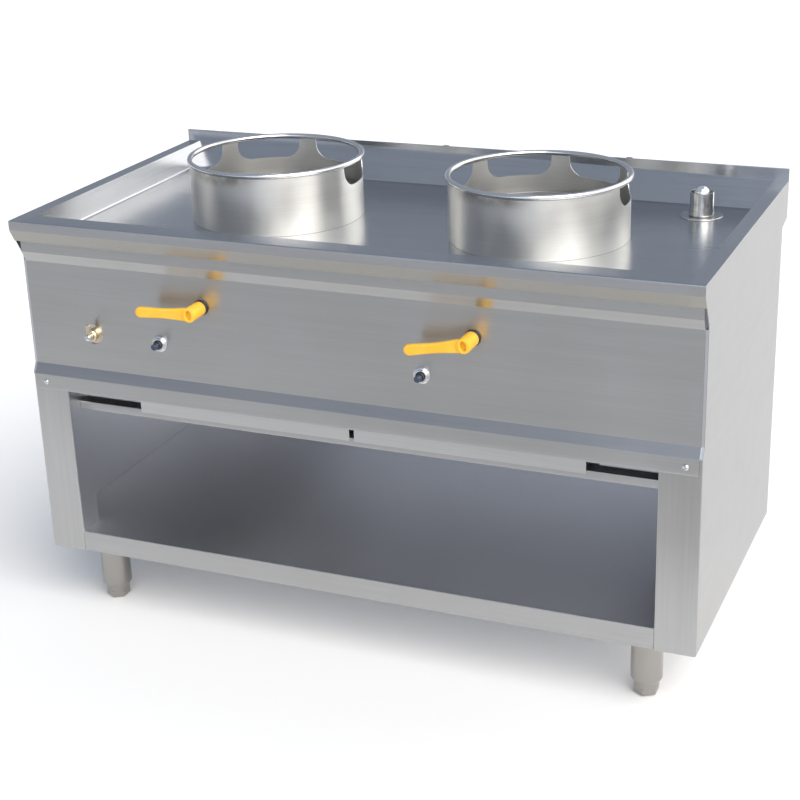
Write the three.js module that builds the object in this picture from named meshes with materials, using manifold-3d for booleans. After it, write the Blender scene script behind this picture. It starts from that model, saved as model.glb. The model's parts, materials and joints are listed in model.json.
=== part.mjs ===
// Two-burner gas wok range: a folded stainless cabinet on four screw feet, with a water-bath
// worktop, lift-off wok rings, lever gas valves, push-button igniters and pull-out drip trays.
// Millimetres, +Z up, +X to the right seen from the front, +Y towards the rear wall.
// The drawing frame has x = 0 on the centre line, y = 0 at the worktop's front edge and z = 0
// on the floor. The exported group moves it so that the origin is the middle of the footprint.

import * as THREE from "three";
import { mergeVertices } from "three/addons/utils/BufferGeometryUtils.js";
import Module from "manifold-3d";

const wasm = await Module();
wasm.setup();

// ---------------------------------------------------------------- driving dimensions

const WIDTH = 1400;
const WORKTOP_DEPTH = 728;
const BODY_HEIGHT = 728; // cabinet bottom to the top of the rim
const LEG_HEIGHT = 132; // floor to cabinet bottom

const SHEET = 1.5;
const BEND = 1.5; // inside radius of a fold
const GAP = 0.3; // between touching pieces
const RUNNING = 0.6; // round a piece that turns or slides

// worktop
const FRONT_RIM = 47.5;
const SIDE_RIM = 29.5;
const BASIN_DEPTH = 54.5;
const REAR_WALL_RUN = 35; // how far the basin's rear wall slopes forward
const SPLASH_HEIGHT = 26;
const LIP_DROP = 20; // vertical part of the front lip
const LIP_HEIGHT = 45;
const LIP_RUN = 14; // how far the lip slopes back
const REAR_OVERHANG = 44;
const REAR_SKIRT = 77;
const REAR_SLOPE = 9; // rise of the overhang's underside towards the back
const STAY_INSET = [649, 336]; // stiffeners in the splashback's fold, from its nearer end
const STAY_WIDTH = 13;
const STAY_PROUD = 2;

// cabinet
const CABINET_SETBACK = 26; // stile face behind the worktop's front edge
const STILE_WIDTH = 80;
const STILE_RETURN = 60;
const REAR_FLANGE = 25;
const SHELF_HEIGHT = 46;
const SHELF_HEM = 15;
const PASSAGE = 1; // round a pipe that passes a sheet
const VENT_COUNT = 8;
const VENT_PITCH = 110;
const VENT_LENGTH = 70;
const VENT_HEIGHT = 12;
const VENT_RISE = 60; // above the drip trays

// fascia
const FASCIA_END_INSET = 6; // from the cabinet's outer face
const FASCIA_TOP = 42; // below the rim
const FASCIA_TOP_FLANGE = 28;
const FASCIA_SLOPE = 21;
const FASCIA_RECESS = 10.5;
const FASCIA_PANEL = 219;
const FASCIA_FLANGE = 33;
const FASCIA_HEM = 12;
const FASCIA_RETURN = 20; // the sides' flanges behind the fascia's ends
const SCREW_INSET = 30; // from the cabinet's outer face
const SCREW_HEAD_RADIUS = 6;
const SCREW_HEAD_HEIGHT = 3;
const SCREW_SHANK_RADIUS = 2.5;
const SCREW_LENGTH = 10;
const SPINDLE_HOLE_RADIUS = 13;

// drip trays
const TRAY_SETBACK = 35; // the trays' fronts behind the stiles' faces
const RAIL_DROP = 33; // below the fascia
const RAIL_HEIGHT = 19;
const RAIL_FLANGE = 30;
const RAIL_HEM = 12;
const TRAY_FRONT_HEIGHT = 30;
const TRAY_END_SLOT = [229, 224]; // from each cabinet side to the tray beside it
const TRAY_MEETING = 2; // middle of the slot between the trays, right of the centre line
const TRAY_SPACING = 10; // width of that slot
const TRAY_BACK_SPACE = 54.4; // from a closed tray to the back panel
const TRAY_WALL = 22.5;
const TRAY_INSET = 2; // each end of the pan from its front's end
const RUNNER_WIDTH = 30;
const RUNNER_WEB = 16;

// legs and feet
const LEG_SIDE_INSET = 108; // from the cabinet's side to a leg's axis
const LEG_INSET = 66; // from the cabinet's front and rear faces
const LEG_RADIUS = 31;
const LEG_WALL = 2;
const LEG_NOSE_RADIUS = 25;
const LEG_NOSE = 8.5; // height of the narrow end
const LEG_TAPER = 11;
const LEG_PLATE_RADIUS = 45;
const LEG_PLATE = 3;
const FOOT_HEIGHT = 16.5;
const FOOT_CORNER_RADIUS = 25;
const FOOT_BEVEL = 4;
const FOOT_STEM_RADIUS = 8;
const FOOT_STEM_LENGTH = 60;

// wok rings
const RING_SIDE_INSET = [405, 422]; // from the worktop's nearer end to each ring's axis
const RING_Y = 383; // from the worktop's front edge
const RING_CLEARANCE = 3.5; // inside its sheet, round the well's flange
const RING_HEIGHT = 129;
const RING_BAR = 11; // diameter of the round bar
const CUT_COUNT = 4;
const CUT_PITCH = 56.6; // degrees
const TAB_ANGLE = 12; // degrees that a tab spans at its neck
const CUT_CENTRE = 94; // degrees, the middle of the four cut-outs
const CUT_FLOOR = 77; // lowest point of a cut-out above the ring's base
const CUT_CORNER = 33; // radius of a cut-out's lower corners

// burner
const WELL_RADIUS = 165;
const COLLAR_HEIGHT = 45;
const WELL_FLANGE = 9;
const WELL_DEPTH = 70; // basin floor to the well's underside
const WELL_OPENING_RADIUS = 112;
const BAR_WIDTH = 50;
const BAR_THICKNESS = 4;
const BURNER_RADIUS = 82;
const BURNER_HEAD = 34;
const BURNER_RISE = 52; // from the support bar to the burner's top
const BURNER_STEM_RADIUS = 20;
const BURNER_SHOULDER_RADIUS = 32;
const BURNER_SLOPE = 26; // width of the sloped, slotted edge
const BURNER_DISH = 12; // depth of the hollow inside the slotted edge
const BURNER_PORTS = 20;
const PORT_WIDTH = 5;
const PORT_DEPTH = 10;
const VENTURI_RADIUS = 21;
const VENTURI_BORE = 15;
const VENTURI_LENGTH = 205; // from the burner's axis to its mouth
const VENTURI_TAPER = 45;
const ELECTRODE_OFFSET = 97; // from the burner's axis
const ELECTRODE_RADIUS = 4;
const ELECTRODE_TAIL = 22; // below its collar
const ELECTRODE_HEIGHT = 34;
const WIRE_DIAMETER = 2.2;
const WIRE_RISE = 14;
const WIRE_REACH = 11;

// controls, measured down from the rim
const VALVE_DROP = 152;
const LEVER_OFFSET = [-2, -11]; // to the right of its ring's axis
const LEVER_TILT = [3, 10.5]; // degrees that each arm hangs below level when closed
const LEVER_LENGTH = 120;
const LEVER_PROJECTION = 51; // from the fascia panel
const LEVER_THICKNESS = 14;
const LEVER_HUB_RADIUS = 14.5;
const LEVER_TIP_RADIUS = 10.5;
const LEVER_NECK = 20; // from the axis to where the arm starts to narrow
const LEVER_ROUND = 3; // radius of its edges
const LEVER_DIMPLE_RADIUS = 6.5;
const COLLAR_RADIUS = 16;
const COLLAR_LENGTH = 6;
const SPINDLE_RADIUS = 5;
const SPINDLE_GRIP = 22; // length inside the lever
const SPINDLE_DEPTH = 22; // behind the panel
const IGNITER_DROP = 237;
const IGNITER_OFFSET = [-99, -102]; // to the right of its lever's axis
const IGNITER_RADIUS = 9;
const IGNITER_NUT_RADIUS = 16.5;
const IGNITER_NUT_HEIGHT = 9.5;
const IGNITER_PROJECTION = 14;
const IGNITER_DEPTH = 42; // behind the panel
const BUTTON_RADIUS = 6.5;
const BUTTON_PROJECTION = 26;
const BUTTON_TRAVEL = 8;
const BUTTON_SOCKET = 20; // depth of its socket behind the panel
const TAP_DROP = 234;
const TAP_INSET = 151; // from the worktop's left end
const TAP_HOLE_RADIUS = 21;
const TAP_BODY_RADIUS = 13;
const TAP_PROJECTION = 22; // to the shaft's flat end
const TAP_HEAD = 8;
const TAP_HEAD_RADIUS = 8;
const TAP_SHAFT_RADIUS = 4;
const TAP_SOCKET = 10; // depth of the shaft's bore behind the panel's face
const TAP_THREAD_RADIUS = 2.2;
const TAP_THREAD_END = 6;
const TAP_PORT_DEPTH = 20; // behind the panel
const TAP_PORT_REACH = 34;
const WING_HEIGHT = 26;

// gas and water pipes
const VALVE_LENGTH = 44;
const VALVE_HALF_WIDTH = 16;
const VALVE_REACH = 54; // to the outlet's end
const VALVE_OUTLET_RADIUS = 10;
const MANIFOLD_RADIUS = 10.5;
const MANIFOLD_BOSS = 18.5; // from the pipe's axis to the boss's top
const MANIFOLD_END = 30; // past the left valve
const MANIFOLD_BEND = 35;
const PIPE_WALL = 2.5;
const PIPE_END_INSET = 4; // from the worktop's rear edge
const MANIFOLD_DROP = 46; // below the valves' axis
const FEED_INSET = 60; // from the worktop's right end
const INJECTOR_RADIUS = 6;
const INJECTOR_CLEARANCE = 12; // air gap between nozzle and venturi
const INJECTOR_RUN = 18; // straight part at each end
const INJECTOR_BEND = 8;
const NOZZLE_RADIUS = 1.5;
const NOZZLE_LENGTH = 20;
const NOZZLE_TAPER = 8;
const NOZZLE_WALL = 4; // round the injector pipe
const WATER_PIPE_RADIUS = 7;
const WATER_PIPE_WALL = 1.5;
const WATER_PIPE_BEND = 18;
const WATER_PIPE_INSET = 90; // from the worktop's left end
const SPOUT_RADIUS = 5;
const SPOUT_Y = 36; // where it rises behind the fascia
const SPOUT_DROP = 28; // below the rim
const SPOUT_REACH = 8; // into the basin
const SPOUT_STEP = [22, 14]; // below and above the fascia panel's top, where it steps forward
const SPOUT_BEND = 8;

// drain
const DRAIN_SIDE_INSET = 152; // from the worktop's right end
const DRAIN_REAR_INSET = 116; // from the worktop's rear edge
const DRAIN_FLANGE_RADIUS = 43;
const DRAIN_NECK_RADIUS = 28;
const DRAIN_BORE_RADIUS = 24.7;
const DRAIN_NECK_LENGTH = 40;
const DRAIN_SEAT = 14; // standpipe's seat below the basin floor
const STANDPIPE_RADIUS = 24;
const STANDPIPE_WALL = 1.5;
const STANDPIPE_HEIGHT = 51; // above the basin floor
const STANDPIPE_FLARE = 1.6;
const KNOB_RADIUS = 15;
const KNOB_RISE = 11; // above the standpipe's rim
const KNOB_HOLE_RADIUS = 1.6;
const KNOB_STEM_RADIUS = 4;
const CROSS_RISE = 11; // underside above the basin floor
const CROSS_THICKNESS = 3;
const CROSS_WIDTH = 8;
const DRAIN_PIPE_RADIUS = 25;
const DRAIN_PIPE_WALL = 2;
const DRAIN_PIPE_DROP = 95; // basin floor to the drain pipe's level run
const DRAIN_ELBOW = 40;

// facets on round pieces, from small pins to the rings
const PIN_SIDES = 12;
const TUBE_SIDES = 16;
const ROUND_SIDES = 20;
const RING_SIDES = 48;
const WELL_SIDES = 24;
const PIPE_SIDES = 8;
const THIN_PIPE_SIDES = 6;
const BAR_SIDES = 6;
const PIPE_BEND_FACETS = 2;
const SCALLOP_SLICES = 10;

// ---------------------------------------------------------------- levels and planes

const CABINET_BOTTOM = LEG_HEIGHT;
const RIM = CABINET_BOTTOM + BODY_HEIGHT;
const FLOOR = RIM - BASIN_DEPTH;
const HALF = WIDTH / 2;
const CABINET_REAR = WORKTOP_DEPTH - REAR_OVERHANG;
const BASIN_HALF = HALF - SIDE_RIM;
const SPLASH_FACE = WORKTOP_DEPTH - 2 * SHEET; // the splashback is folded double

const FASCIA_FACE = CABINET_SETBACK - GAP - SHEET;
const PANEL_FACE = FASCIA_FACE + FASCIA_RECESS;
const PANEL_BACK = PANEL_FACE + SHEET;
const PANEL_TOP = FASCIA_TOP + FASCIA_TOP_FLANGE + FASCIA_SLOPE; // these are below the rim
const PANEL_BOTTOM = PANEL_TOP + FASCIA_PANEL;
const FLANGE_TOP = PANEL_BOTTOM + FASCIA_SLOPE;
const FASCIA_BOTTOM = FLANGE_TOP + FASCIA_FLANGE;
const FASCIA_FRONT = [
  [FASCIA_FACE, -FASCIA_TOP],
  [FASCIA_FACE, -FASCIA_TOP - FASCIA_TOP_FLANGE],
  [PANEL_FACE, -PANEL_TOP],
  [PANEL_FACE, -PANEL_BOTTOM],
  [FASCIA_FACE, -FLANGE_TOP],
  [FASCIA_FACE, -FASCIA_BOTTOM],
]; // (y, height over the rim) down its face
const STILE_TOP = RIM - FLANGE_TOP - GAP;
const SCREW_Z = RIM - (FLANGE_TOP + FASCIA_BOTTOM) / 2;

const RAIL_TOP = RIM - FASCIA_BOTTOM - RAIL_DROP;
const TRAY_FLOOR = RAIL_TOP + GAP;
const TRAY_FACE = CABINET_SETBACK + TRAY_SETBACK;
const RAIL_FACE = TRAY_FACE + SHEET + GAP; // the trays' fronts hang before it
const SHELF_TOP = CABINET_BOTTOM + SHELF_HEIGHT;
const BACK_FACE = CABINET_REAR - SHEET - GAP - SHEET; // front of the back panel

const RING_RADIUS = WELL_RADIUS + WELL_FLANGE + RING_CLEARANCE + SHEET;
const STAY_X = [-HALF + STAY_INSET[0], HALF - STAY_INSET[1]];
const TRAY_LEFT_X = [-HALF + TRAY_END_SLOT[0], TRAY_MEETING - TRAY_SPACING / 2];
const TRAY_RIGHT_X = [TRAY_MEETING + TRAY_SPACING / 2, HALF - TRAY_END_SLOT[1]];
const LEG_X = HALF - LEG_SIDE_INSET;
const RING_X = [-HALF + RING_SIDE_INSET[0], HALF - RING_SIDE_INSET[1]];
const LEVER_X = RING_X.map((x, i) => x + LEVER_OFFSET[i]);
const IGNITER_X = LEVER_X.map((x, i) => x + IGNITER_OFFSET[i]);
const TAP_X = -HALF + TAP_INSET;
const WATER_PIPE_X = -HALF + WATER_PIPE_INSET;
const FEED_X = HALF - FEED_INSET;
const DRAIN_X = HALF - DRAIN_SIDE_INSET;
const DRAIN_Y = WORKTOP_DEPTH - DRAIN_REAR_INSET;

const VENT_Z = RAIL_TOP + VENT_RISE;

const VALVE_Z = RIM - VALVE_DROP;
const IGNITER_Z = RIM - IGNITER_DROP;
const TAP_Z = RIM - TAP_DROP;
const MANIFOLD_Z = VALVE_Z - MANIFOLD_DROP;
const MANIFOLD_Y = PANEL_BACK + VALVE_LENGTH / 2;
const TAP_PORT_Y = PANEL_BACK + TAP_PORT_DEPTH;
const PIPE_END_Y = WORKTOP_DEPTH - PIPE_END_INSET;
const LEDGE_TOP = FLOOR - WELL_DEPTH + SHEET;
const BAR_BOTTOM = LEDGE_TOP + GAP;
const BAR_TOP = BAR_BOTTOM + BAR_THICKNESS;

// ---------------------------------------------------------------- materials

function steel(color, roughness) {
  return new THREE.MeshStandardMaterial({ color, roughness, metalness: 1 });
}

const MATERIALS = {
  worktop: steel(0x8b909b, 0.34),
  panel: steel(0x9b9c99, 0.42),
  tray: steel(0xb4b3ae, 0.32),
  ring: steel(0xaaa69c, 0.26),
  chrome: steel(0xd4d6d8, 0.12),
  leg: steel(0xa5a19a, 0.3),
  brass: steel(0xb09a6a, 0.35),
  copper: steel(0x9c6b4a, 0.4),
  iron: new THREE.MeshStandardMaterial({ color: 0x2b2b2d, roughness: 0.75, metalness: 0.6 }),
  yellow: new THREE.MeshStandardMaterial({ color: 0xf5b81f, roughness: 0.38, metalness: 0 }),
  black: new THREE.MeshStandardMaterial({ color: 0x24262a, roughness: 0.45, metalness: 0 }),
  button: new THREE.MeshStandardMaterial({ color: 0x2c3a4c, roughness: 0.4, metalness: 0 }),
  ceramic: new THREE.MeshStandardMaterial({ color: 0xe6e0d2, roughness: 0.5, metalness: 0 }),
};

// ---------------------------------------------------------------- solids

function toSolid(geometry) {
  const soup = geometry.index ? geometry.toNonIndexed() : geometry.clone();
  soup.deleteAttribute("normal");
  soup.deleteAttribute("uv");
  const welded = mergeVertices(soup, 1e-4);
  return new wasm.Manifold(
    new wasm.Mesh({
      numProp: 3,
      vertProperties: new Float32Array(welded.attributes.position.array),
      triVerts: new Uint32Array(welded.index.array),
    }),
  );
}

function toGeometry(solid) {
  const mesh = solid.getMesh();
  const geometry = new THREE.BufferGeometry();
  geometry.setAttribute("position", new THREE.BufferAttribute(mesh.vertProperties, 3));
  geometry.setIndex(new THREE.BufferAttribute(mesh.triVerts, 1));
  return geometry;
}

function join(...geometries) {
  const solids = geometries.map(toSolid);
  return toGeometry(solids.reduce((whole, next) => whole.add(next)));
}

function cut(geometry, ...tools) {
  const solids = tools.map(toSolid);
  return toGeometry(solids.reduce((whole, next) => whole.subtract(next), toSolid(geometry)));
}

function common(geometry, tool) {
  return toGeometry(toSolid(geometry).intersect(toSolid(tool)));
}

// A copy reflected in the plane x = 0, with its faces still pointing out.
function mirrored(geometry) {
  const soup = (geometry.index ? geometry.toNonIndexed() : geometry.clone()).scale(-1, 1, 1);
  const position = soup.attributes.position;
  const second = new THREE.Vector3();
  const third = new THREE.Vector3();
  for (let i = 0; i < position.count; i += 3) {
    second.fromBufferAttribute(position, i + 1);
    third.fromBufferAttribute(position, i + 2);
    position.setXYZ(i + 1, third.x, third.y, third.z);
    position.setXYZ(i + 2, second.x, second.y, second.z);
  }
  return soup;
}

const X = new THREE.Vector3(1, 0, 0);
const Y = new THREE.Vector3(0, 1, 0);
const Z = new THREE.Vector3(0, 0, 1);

function turned(geometry, right, up, out) {
  return geometry.applyMatrix4(new THREE.Matrix4().makeBasis(right, up, out));
}

function asShape(outline) {
  return outline instanceof THREE.Shape
    ? outline
    : new THREE.Shape(outline.map(([u, v]) => new THREE.Vector2(u, v)));
}

function extruded(outline, depth, curveSegments = TUBE_SIDES) {
  return new THREE.ExtrudeGeometry(asShape(outline), { depth, bevelEnabled: false, curveSegments });
}

// An outline in (y, z), from x0 to x1.
function alongX(outline, x0, x1) {
  return turned(extruded(outline, x1 - x0), Y, Z, X).translate(x0, 0, 0);
}

// An outline in (x, z), from y0 to y1.
function alongY(outline, y0, y1) {
  return turned(extruded(outline, y1 - y0), X, Z, Y.clone().negate()).translate(0, y1, 0);
}

// An outline in (x, y), from z0 to z1.
function alongZ(outline, z0, z1) {
  return extruded(outline, z1 - z0).translate(0, 0, z0);
}

function block(x0, x1, y0, y1, z0, z1) {
  const box = new THREE.BoxGeometry(x1 - x0, y1 - y0, z1 - z0);
  return box.translate((x0 + x1) / 2, (y0 + y1) / 2, (z0 + z1) / 2);
}

function signedArea(points) {
  return points.reduce((sum, [r, h], i) => {
    const [nextR, nextH] = points[(i + 1) % points.length];
    return sum + r * nextH - nextR * h;
  }, 0);
}

// A profile of (radius, height) turned about Z. It closes on itself, or runs from axis to axis.
function turnedZ(profile, sides = TUBE_SIDES) {
  const outward = signedArea(profile) > 0 ? profile : [...profile].reverse();
  const onAxis = outward.filter(([r]) => r === 0).length;
  const points = outward.map(([r, h]) => new THREE.Vector2(r, h));
  if (onAxis) {
    while (points[0].x !== 0 || points[points.length - 1].x !== 0) points.push(points.shift());
  } else {
    points.push(points[0].clone());
  }
  return new THREE.LatheGeometry(points, sides).rotateX(Math.PI / 2);
}

// A profile of (radius, distance towards the rear) turned about an axis along Y.
function turnedY(profile, sides = TUBE_SIDES) {
  return turnedZ(profile, sides).rotateX(-Math.PI / 2);
}

function rod(radius, from, to) {
  return [
    [0, from],
    [radius, from],
    [radius, to],
    [0, to],
  ];
}

function tube(outer, inner, from, to) {
  return [
    [inner, from],
    [outer, from],
    [outer, to],
    [inner, to],
  ];
}

function rodX(radius, x0, x1, sides = TUBE_SIDES) {
  return turned(turnedZ(rod(radius, x0, x1), sides), Y, Z, X);
}

function rodY(radius, y0, y1, sides = TUBE_SIDES) {
  return turnedY(rod(radius, y0, y1), sides);
}

function rodZ(radius, z0, z1, sides = TUBE_SIDES) {
  return turnedZ(rod(radius, z0, z1), sides);
}

// Straight runs joined by bends, with a station at each end of every run and along each bend.
class PipeRoute extends THREE.Curve {
  constructor(corners, bendReach) {
    super();
    const points = corners.map((corner) => new THREE.Vector3(...corner));
    this.stations = [points[0]];
    for (let i = 1; i < points.length - 1; i += 1) {
      const toBefore = points[i - 1].clone().sub(points[i]).setLength(bendReach);
      const toAfter = points[i + 1].clone().sub(points[i]).setLength(bendReach);
      const bend = new THREE.QuadraticBezierCurve3(
        points[i].clone().add(toBefore),
        points[i],
        points[i].clone().add(toAfter),
      );
      this.stations.push(...bend.getPoints(PIPE_BEND_FACETS));
    }
    this.stations.push(points[points.length - 1]);
    this.last = this.stations.length - 1;
  }

  getPointAt(t) {
    return this.stations[Math.round(t * this.last)].clone();
  }

  getTangentAt(t) {
    const i = Math.round(t * this.last);
    const direction = (from) =>
      this.stations[from + 1].clone().sub(this.stations[from]).normalize();
    const arriving = direction(Math.max(i - 1, 0));
    const leaving = direction(Math.min(i, this.last - 1));
    return arriving.add(leaving).normalize();
  }
}

// An open-ended round pipe; its bends leave each run at bendReach from the corner.
function pipe(radius, wall, corners, bendReach, sides = PIPE_SIDES) {
  const route = new PipeRoute(corners, bendReach);
  const section = new THREE.Shape().absarc(0, 0, radius, 0, 2 * Math.PI);
  section.holes.push(new THREE.Path().absarc(0, 0, radius - wall, 0, 2 * Math.PI));
  return new THREE.ExtrudeGeometry(section, {
    steps: route.last,
    curveSegments: sides / 2,
    extrudePath: route,
  });
}

// ---------------------------------------------------------------- folded sheet

function unit([u, v]) {
  const length = Math.hypot(u, v);
  return [u / length, v / length];
}

// The path shifted to its left by a distance, with mitred corners.
function offsetPath(path, distance) {
  const normals = path.slice(1).map(([u, v], i) => {
    const [du, dv] = unit([u - path[i][0], v - path[i][1]]);
    return [-dv, du];
  });
  return path.map(([u, v], i) => {
    const a = normals[Math.max(i - 1, 0)];
    const b = normals[Math.min(i, normals.length - 1)];
    const scale = distance / (1 + a[0] * b[0] + a[1] * b[1]);
    return [u + (a[0] + b[0]) * scale, v + (a[1] + b[1]) * scale];
  });
}

// The path with each inner corner rounded; radii gives the radius of a left and a right turn.
function roundCorners(path, radii, facets = 2) {
  const rounded = [path[0]];
  for (let i = 1; i < path.length - 1; i += 1) {
    const [cu, cv] = path[i];
    const [au, av] = unit([cu - path[i - 1][0], cv - path[i - 1][1]]);
    const [bu, bv] = unit([path[i + 1][0] - cu, path[i + 1][1] - cv]);
    const turn = Math.atan2(au * bv - av * bu, au * bu + av * bv);
    const radius = turn > 0 ? radii.left : radii.right;
    const reach = radius * Math.tan(Math.abs(turn) / 2);
    const side = Math.sign(turn);
    const start = [cu - au * reach, cv - av * reach];
    const centre = [start[0] - av * radius * side, start[1] + au * radius * side];
    for (let k = 0; k <= facets; k += 1) {
      const angle = (turn * k) / facets;
      const [ru, rv] = [start[0] - centre[0], start[1] - centre[1]];
      rounded.push([
        centre[0] + ru * Math.cos(angle) - rv * Math.sin(angle),
        centre[1] + ru * Math.sin(angle) + rv * Math.cos(angle),
      ]);
    }
  }
  rounded.push(path[path.length - 1]);
  return rounded;
}

// The section of a folded sheet whose right-hand face follows the path.
function folded(path, thickness = SHEET, bend = BEND) {
  const inner = { left: bend, right: bend + thickness };
  const outer = { left: bend + thickness, right: bend };
  const rightFace = roundCorners(path, { left: outer.left, right: outer.right });
  const leftFace = roundCorners(offsetPath(path, thickness), {
    left: inner.left,
    right: inner.right,
  });
  return [...rightFace, ...leftFace.reverse()];
}

// ---------------------------------------------------------------- scene graph

const range = new THREE.Group();

function addPart(name, geometry, material, parent = range) {
  const mesh = new THREE.Mesh(geometry, MATERIALS[material]);
  mesh.name = name;
  parent.add(mesh);
  return mesh;
}

function addGroup(x, y, z, parent = range) {
  const group = new THREE.Group();
  group.position.set(x, y, z);
  parent.add(group);
  return group;
}

const SIDES = ["left", "right"];

// ---------------------------------------------------------------- worktop

// Heights in these outlines are below the rim, so they are negative.
function worktop() {
  const lip = folded([
    [FRONT_RIM, 0],
    [0, 0],
    [0, -LIP_DROP],
    [LIP_RUN, -LIP_HEIGHT],
  ]);
  const skirt = folded([
    [CABINET_REAR + BEND, -REAR_SKIRT],
    [WORKTOP_DEPTH, -REAR_SKIRT],
    [WORKTOP_DEPTH, 0],
  ]);
  const splash = roundCorners(
    [
      [WORKTOP_DEPTH, -SHEET],
      [WORKTOP_DEPTH, SPLASH_HEIGHT],
      [SPLASH_FACE, SPLASH_HEIGHT],
      [SPLASH_FACE, -SHEET],
    ],
    { left: SHEET, right: SHEET },
  );
  const tubOutside = [
    [FRONT_RIM - SHEET, 0],
    [FRONT_RIM - SHEET, -BASIN_DEPTH - SHEET],
    [SPLASH_FACE - REAR_WALL_RUN + SHEET, -BASIN_DEPTH - SHEET],
    [SPLASH_FACE + SHEET, 0],
  ];
  const tubInside = [
    [FRONT_RIM, 1],
    [FRONT_RIM, -BASIN_DEPTH],
    [SPLASH_FACE - REAR_WALL_RUN, -BASIN_DEPTH],
    [SPLASH_FACE, 0],
    [SPLASH_FACE, 1],
  ];
  const rimPlate = block(-HALF, HALF, BEND + SHEET, SPLASH_FACE + SHEET, -SHEET, 0);
  const walls = alongX(tubOutside, -BASIN_HALF - SHEET, BASIN_HALF + SHEET);
  const basin = alongX(tubInside, -BASIN_HALF, BASIN_HALF);
  const stays = STAY_X.map((x) =>
    block(
      x - STAY_WIDTH / 2,
      x + STAY_WIDTH / 2,
      SPLASH_FACE + SHEET / 2,
      WORKTOP_DEPTH - SHEET / 2,
      SPLASH_HEIGHT - SHEET,
      SPLASH_HEIGHT + STAY_PROUD,
    ),
  );
  const sheet = join(
    rimPlate,
    alongX(lip, -HALF, HALF),
    alongX(splash, -HALF, HALF),
    alongX(skirt, -HALF, HALF),
    walls,
  );
  const skirtEnd = block(
    HALF - SHEET - GAP,
    HALF + 1,
    CABINET_REAR,
    WORKTOP_DEPTH - SHEET,
    -REAR_SKIRT - 1,
    -REAR_SKIRT + BEND + SHEET,
  );
  const soft = roundCorners(
    [
      [-HALF, -2 * REAR_SKIRT],
      [-HALF, 0],
      [HALF, 0],
      [HALF, -2 * REAR_SKIRT],
    ],
    { left: SHEET, right: SHEET },
  );
  const belowRim = alongY(soft, -1, SPLASH_FACE);
  const behind = block(-HALF, HALF, SPLASH_FACE, WORKTOP_DEPTH, -2 * REAR_SKIRT, SPLASH_HEIGHT);
  const throughFloor = (radius, x, y, sides) =>
    rodZ(radius, -BASIN_DEPTH - 2 * SHEET, -BASIN_DEPTH + SHEET, sides).translate(x, y, 0);
  const holes = RING_X.map((x) =>
    throughFloor(WELL_RADIUS + GAP, x, RING_Y, WELL_SIDES),
  );
  const drain = throughFloor(DRAIN_NECK_RADIUS + GAP, DRAIN_X, DRAIN_Y, ROUND_SIDES);
  const spoutHole = rodY(SPOUT_RADIUS + GAP, FRONT_RIM - 2 * SHEET, FRONT_RIM + SHEET);
  const body = cut(
    common(sheet, join(belowRim, behind)),
    basin,
    skirtEnd,
    mirrored(skirtEnd),
    drain,
    spoutHole.translate(TAP_X, 0, -SPOUT_DROP),
    ...holes,
  );
  return join(body, ...stays).translate(0, 0, RIM);
}

// ---------------------------------------------------------------- cabinet

function sidePanel() {
  const inner = -HALF + SHEET;
  const lipSlope = LIP_RUN / (LIP_HEIGHT - LIP_DROP);
  const under = SHEET + GAP; // inside the worktop's outer face
  const sidestep = under * Math.hypot(1, lipSlope);
  const slopeStart = LIP_DROP - (sidestep - under) / lipSlope;
  const behindPanel = offsetPath(FASCIA_FRONT, SHEET + GAP).map(([y, z]) => [y, RIM + z]);
  const [panelTop, panelBottom, flangeTop] = behindPanel.slice(2);
  const slopeEnd = slopeStart + (panelTop[0] - under) / lipSlope;
  const outline = [
    [under + BEND, RIM - under],
    [under, RIM - under - BEND],
    [under, RIM - slopeStart],
    [panelTop[0], RIM - slopeEnd],
    panelBottom,
    flangeTop,
    [CABINET_SETBACK, CABINET_BOTTOM],
    [CABINET_REAR, CABINET_BOTTOM],
    [CABINET_REAR, RIM - REAR_SKIRT - REAR_SLOPE],
    [WORKTOP_DEPTH - under, RIM - REAR_SKIRT],
    [WORKTOP_DEPTH - under, RIM - under - BEND],
    [WORKTOP_DEPTH - under - BEND, RIM - under],
  ];
  const plan = [
    [-HALF + REAR_FLANGE, CABINET_REAR],
    [-HALF, CABINET_REAR],
    [-HALF, CABINET_SETBACK],
    [-HALF + STILE_WIDTH, CABINET_SETBACK],
    [-HALF + STILE_WIDTH, CABINET_SETBACK + STILE_RETURN],
  ];
  const rearPlan = plan.slice(0, 2).concat([[-HALF, CABINET_REAR / 2]]);
  const frontPlan = [[-HALF, CABINET_REAR / 2]].concat(plan.slice(2));
  const rearTop = RIM - REAR_SKIRT - REAR_SLOPE - GAP;
  const front = alongZ(folded(frontPlan), CABINET_BOTTOM, STILE_TOP);
  const fasciaReturn = folded([panelTop, panelBottom, flangeTop]);
  const rear = alongZ(folded(rearPlan), CABINET_BOTTOM, rearTop);
  const cornerTrim = (y0, y1, z1) => block(-HALF - 1, -HALF + 2 * BEND, y0, y1, 0, z1);
  const foldDepth = BEND + SHEET;
  const plate = cut(
    alongX(outline, -HALF, inner),
    cornerTrim(CABINET_SETBACK - 1, CABINET_SETBACK + foldDepth, STILE_TOP),
    cornerTrim(CABINET_REAR - foldDepth, CABINET_REAR + 1, rearTop),
  );
  const legNotch = block(
    -HALF + STILE_WIDTH - foldDepth,
    -HALF + STILE_WIDTH + 1,
    CABINET_SETBACK + foldDepth,
    CABINET_SETBACK + STILE_RETURN + 1,
    CABINET_BOTTOM - 1,
    SHELF_TOP - SHEET,
  );
  const screwHole = rodY(SCREW_SHANK_RADIUS + GAP, CABINET_SETBACK - 1, CABINET_SETBACK + 2 * SHEET);
  return cut(
    join(plate, front, rear, alongX(fasciaReturn, -HALF, -HALF + FASCIA_RETURN)),
    legNotch,
    screwHole.translate(-HALF + SCREW_INSET, 0, SCREW_Z),
  );
}

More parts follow.
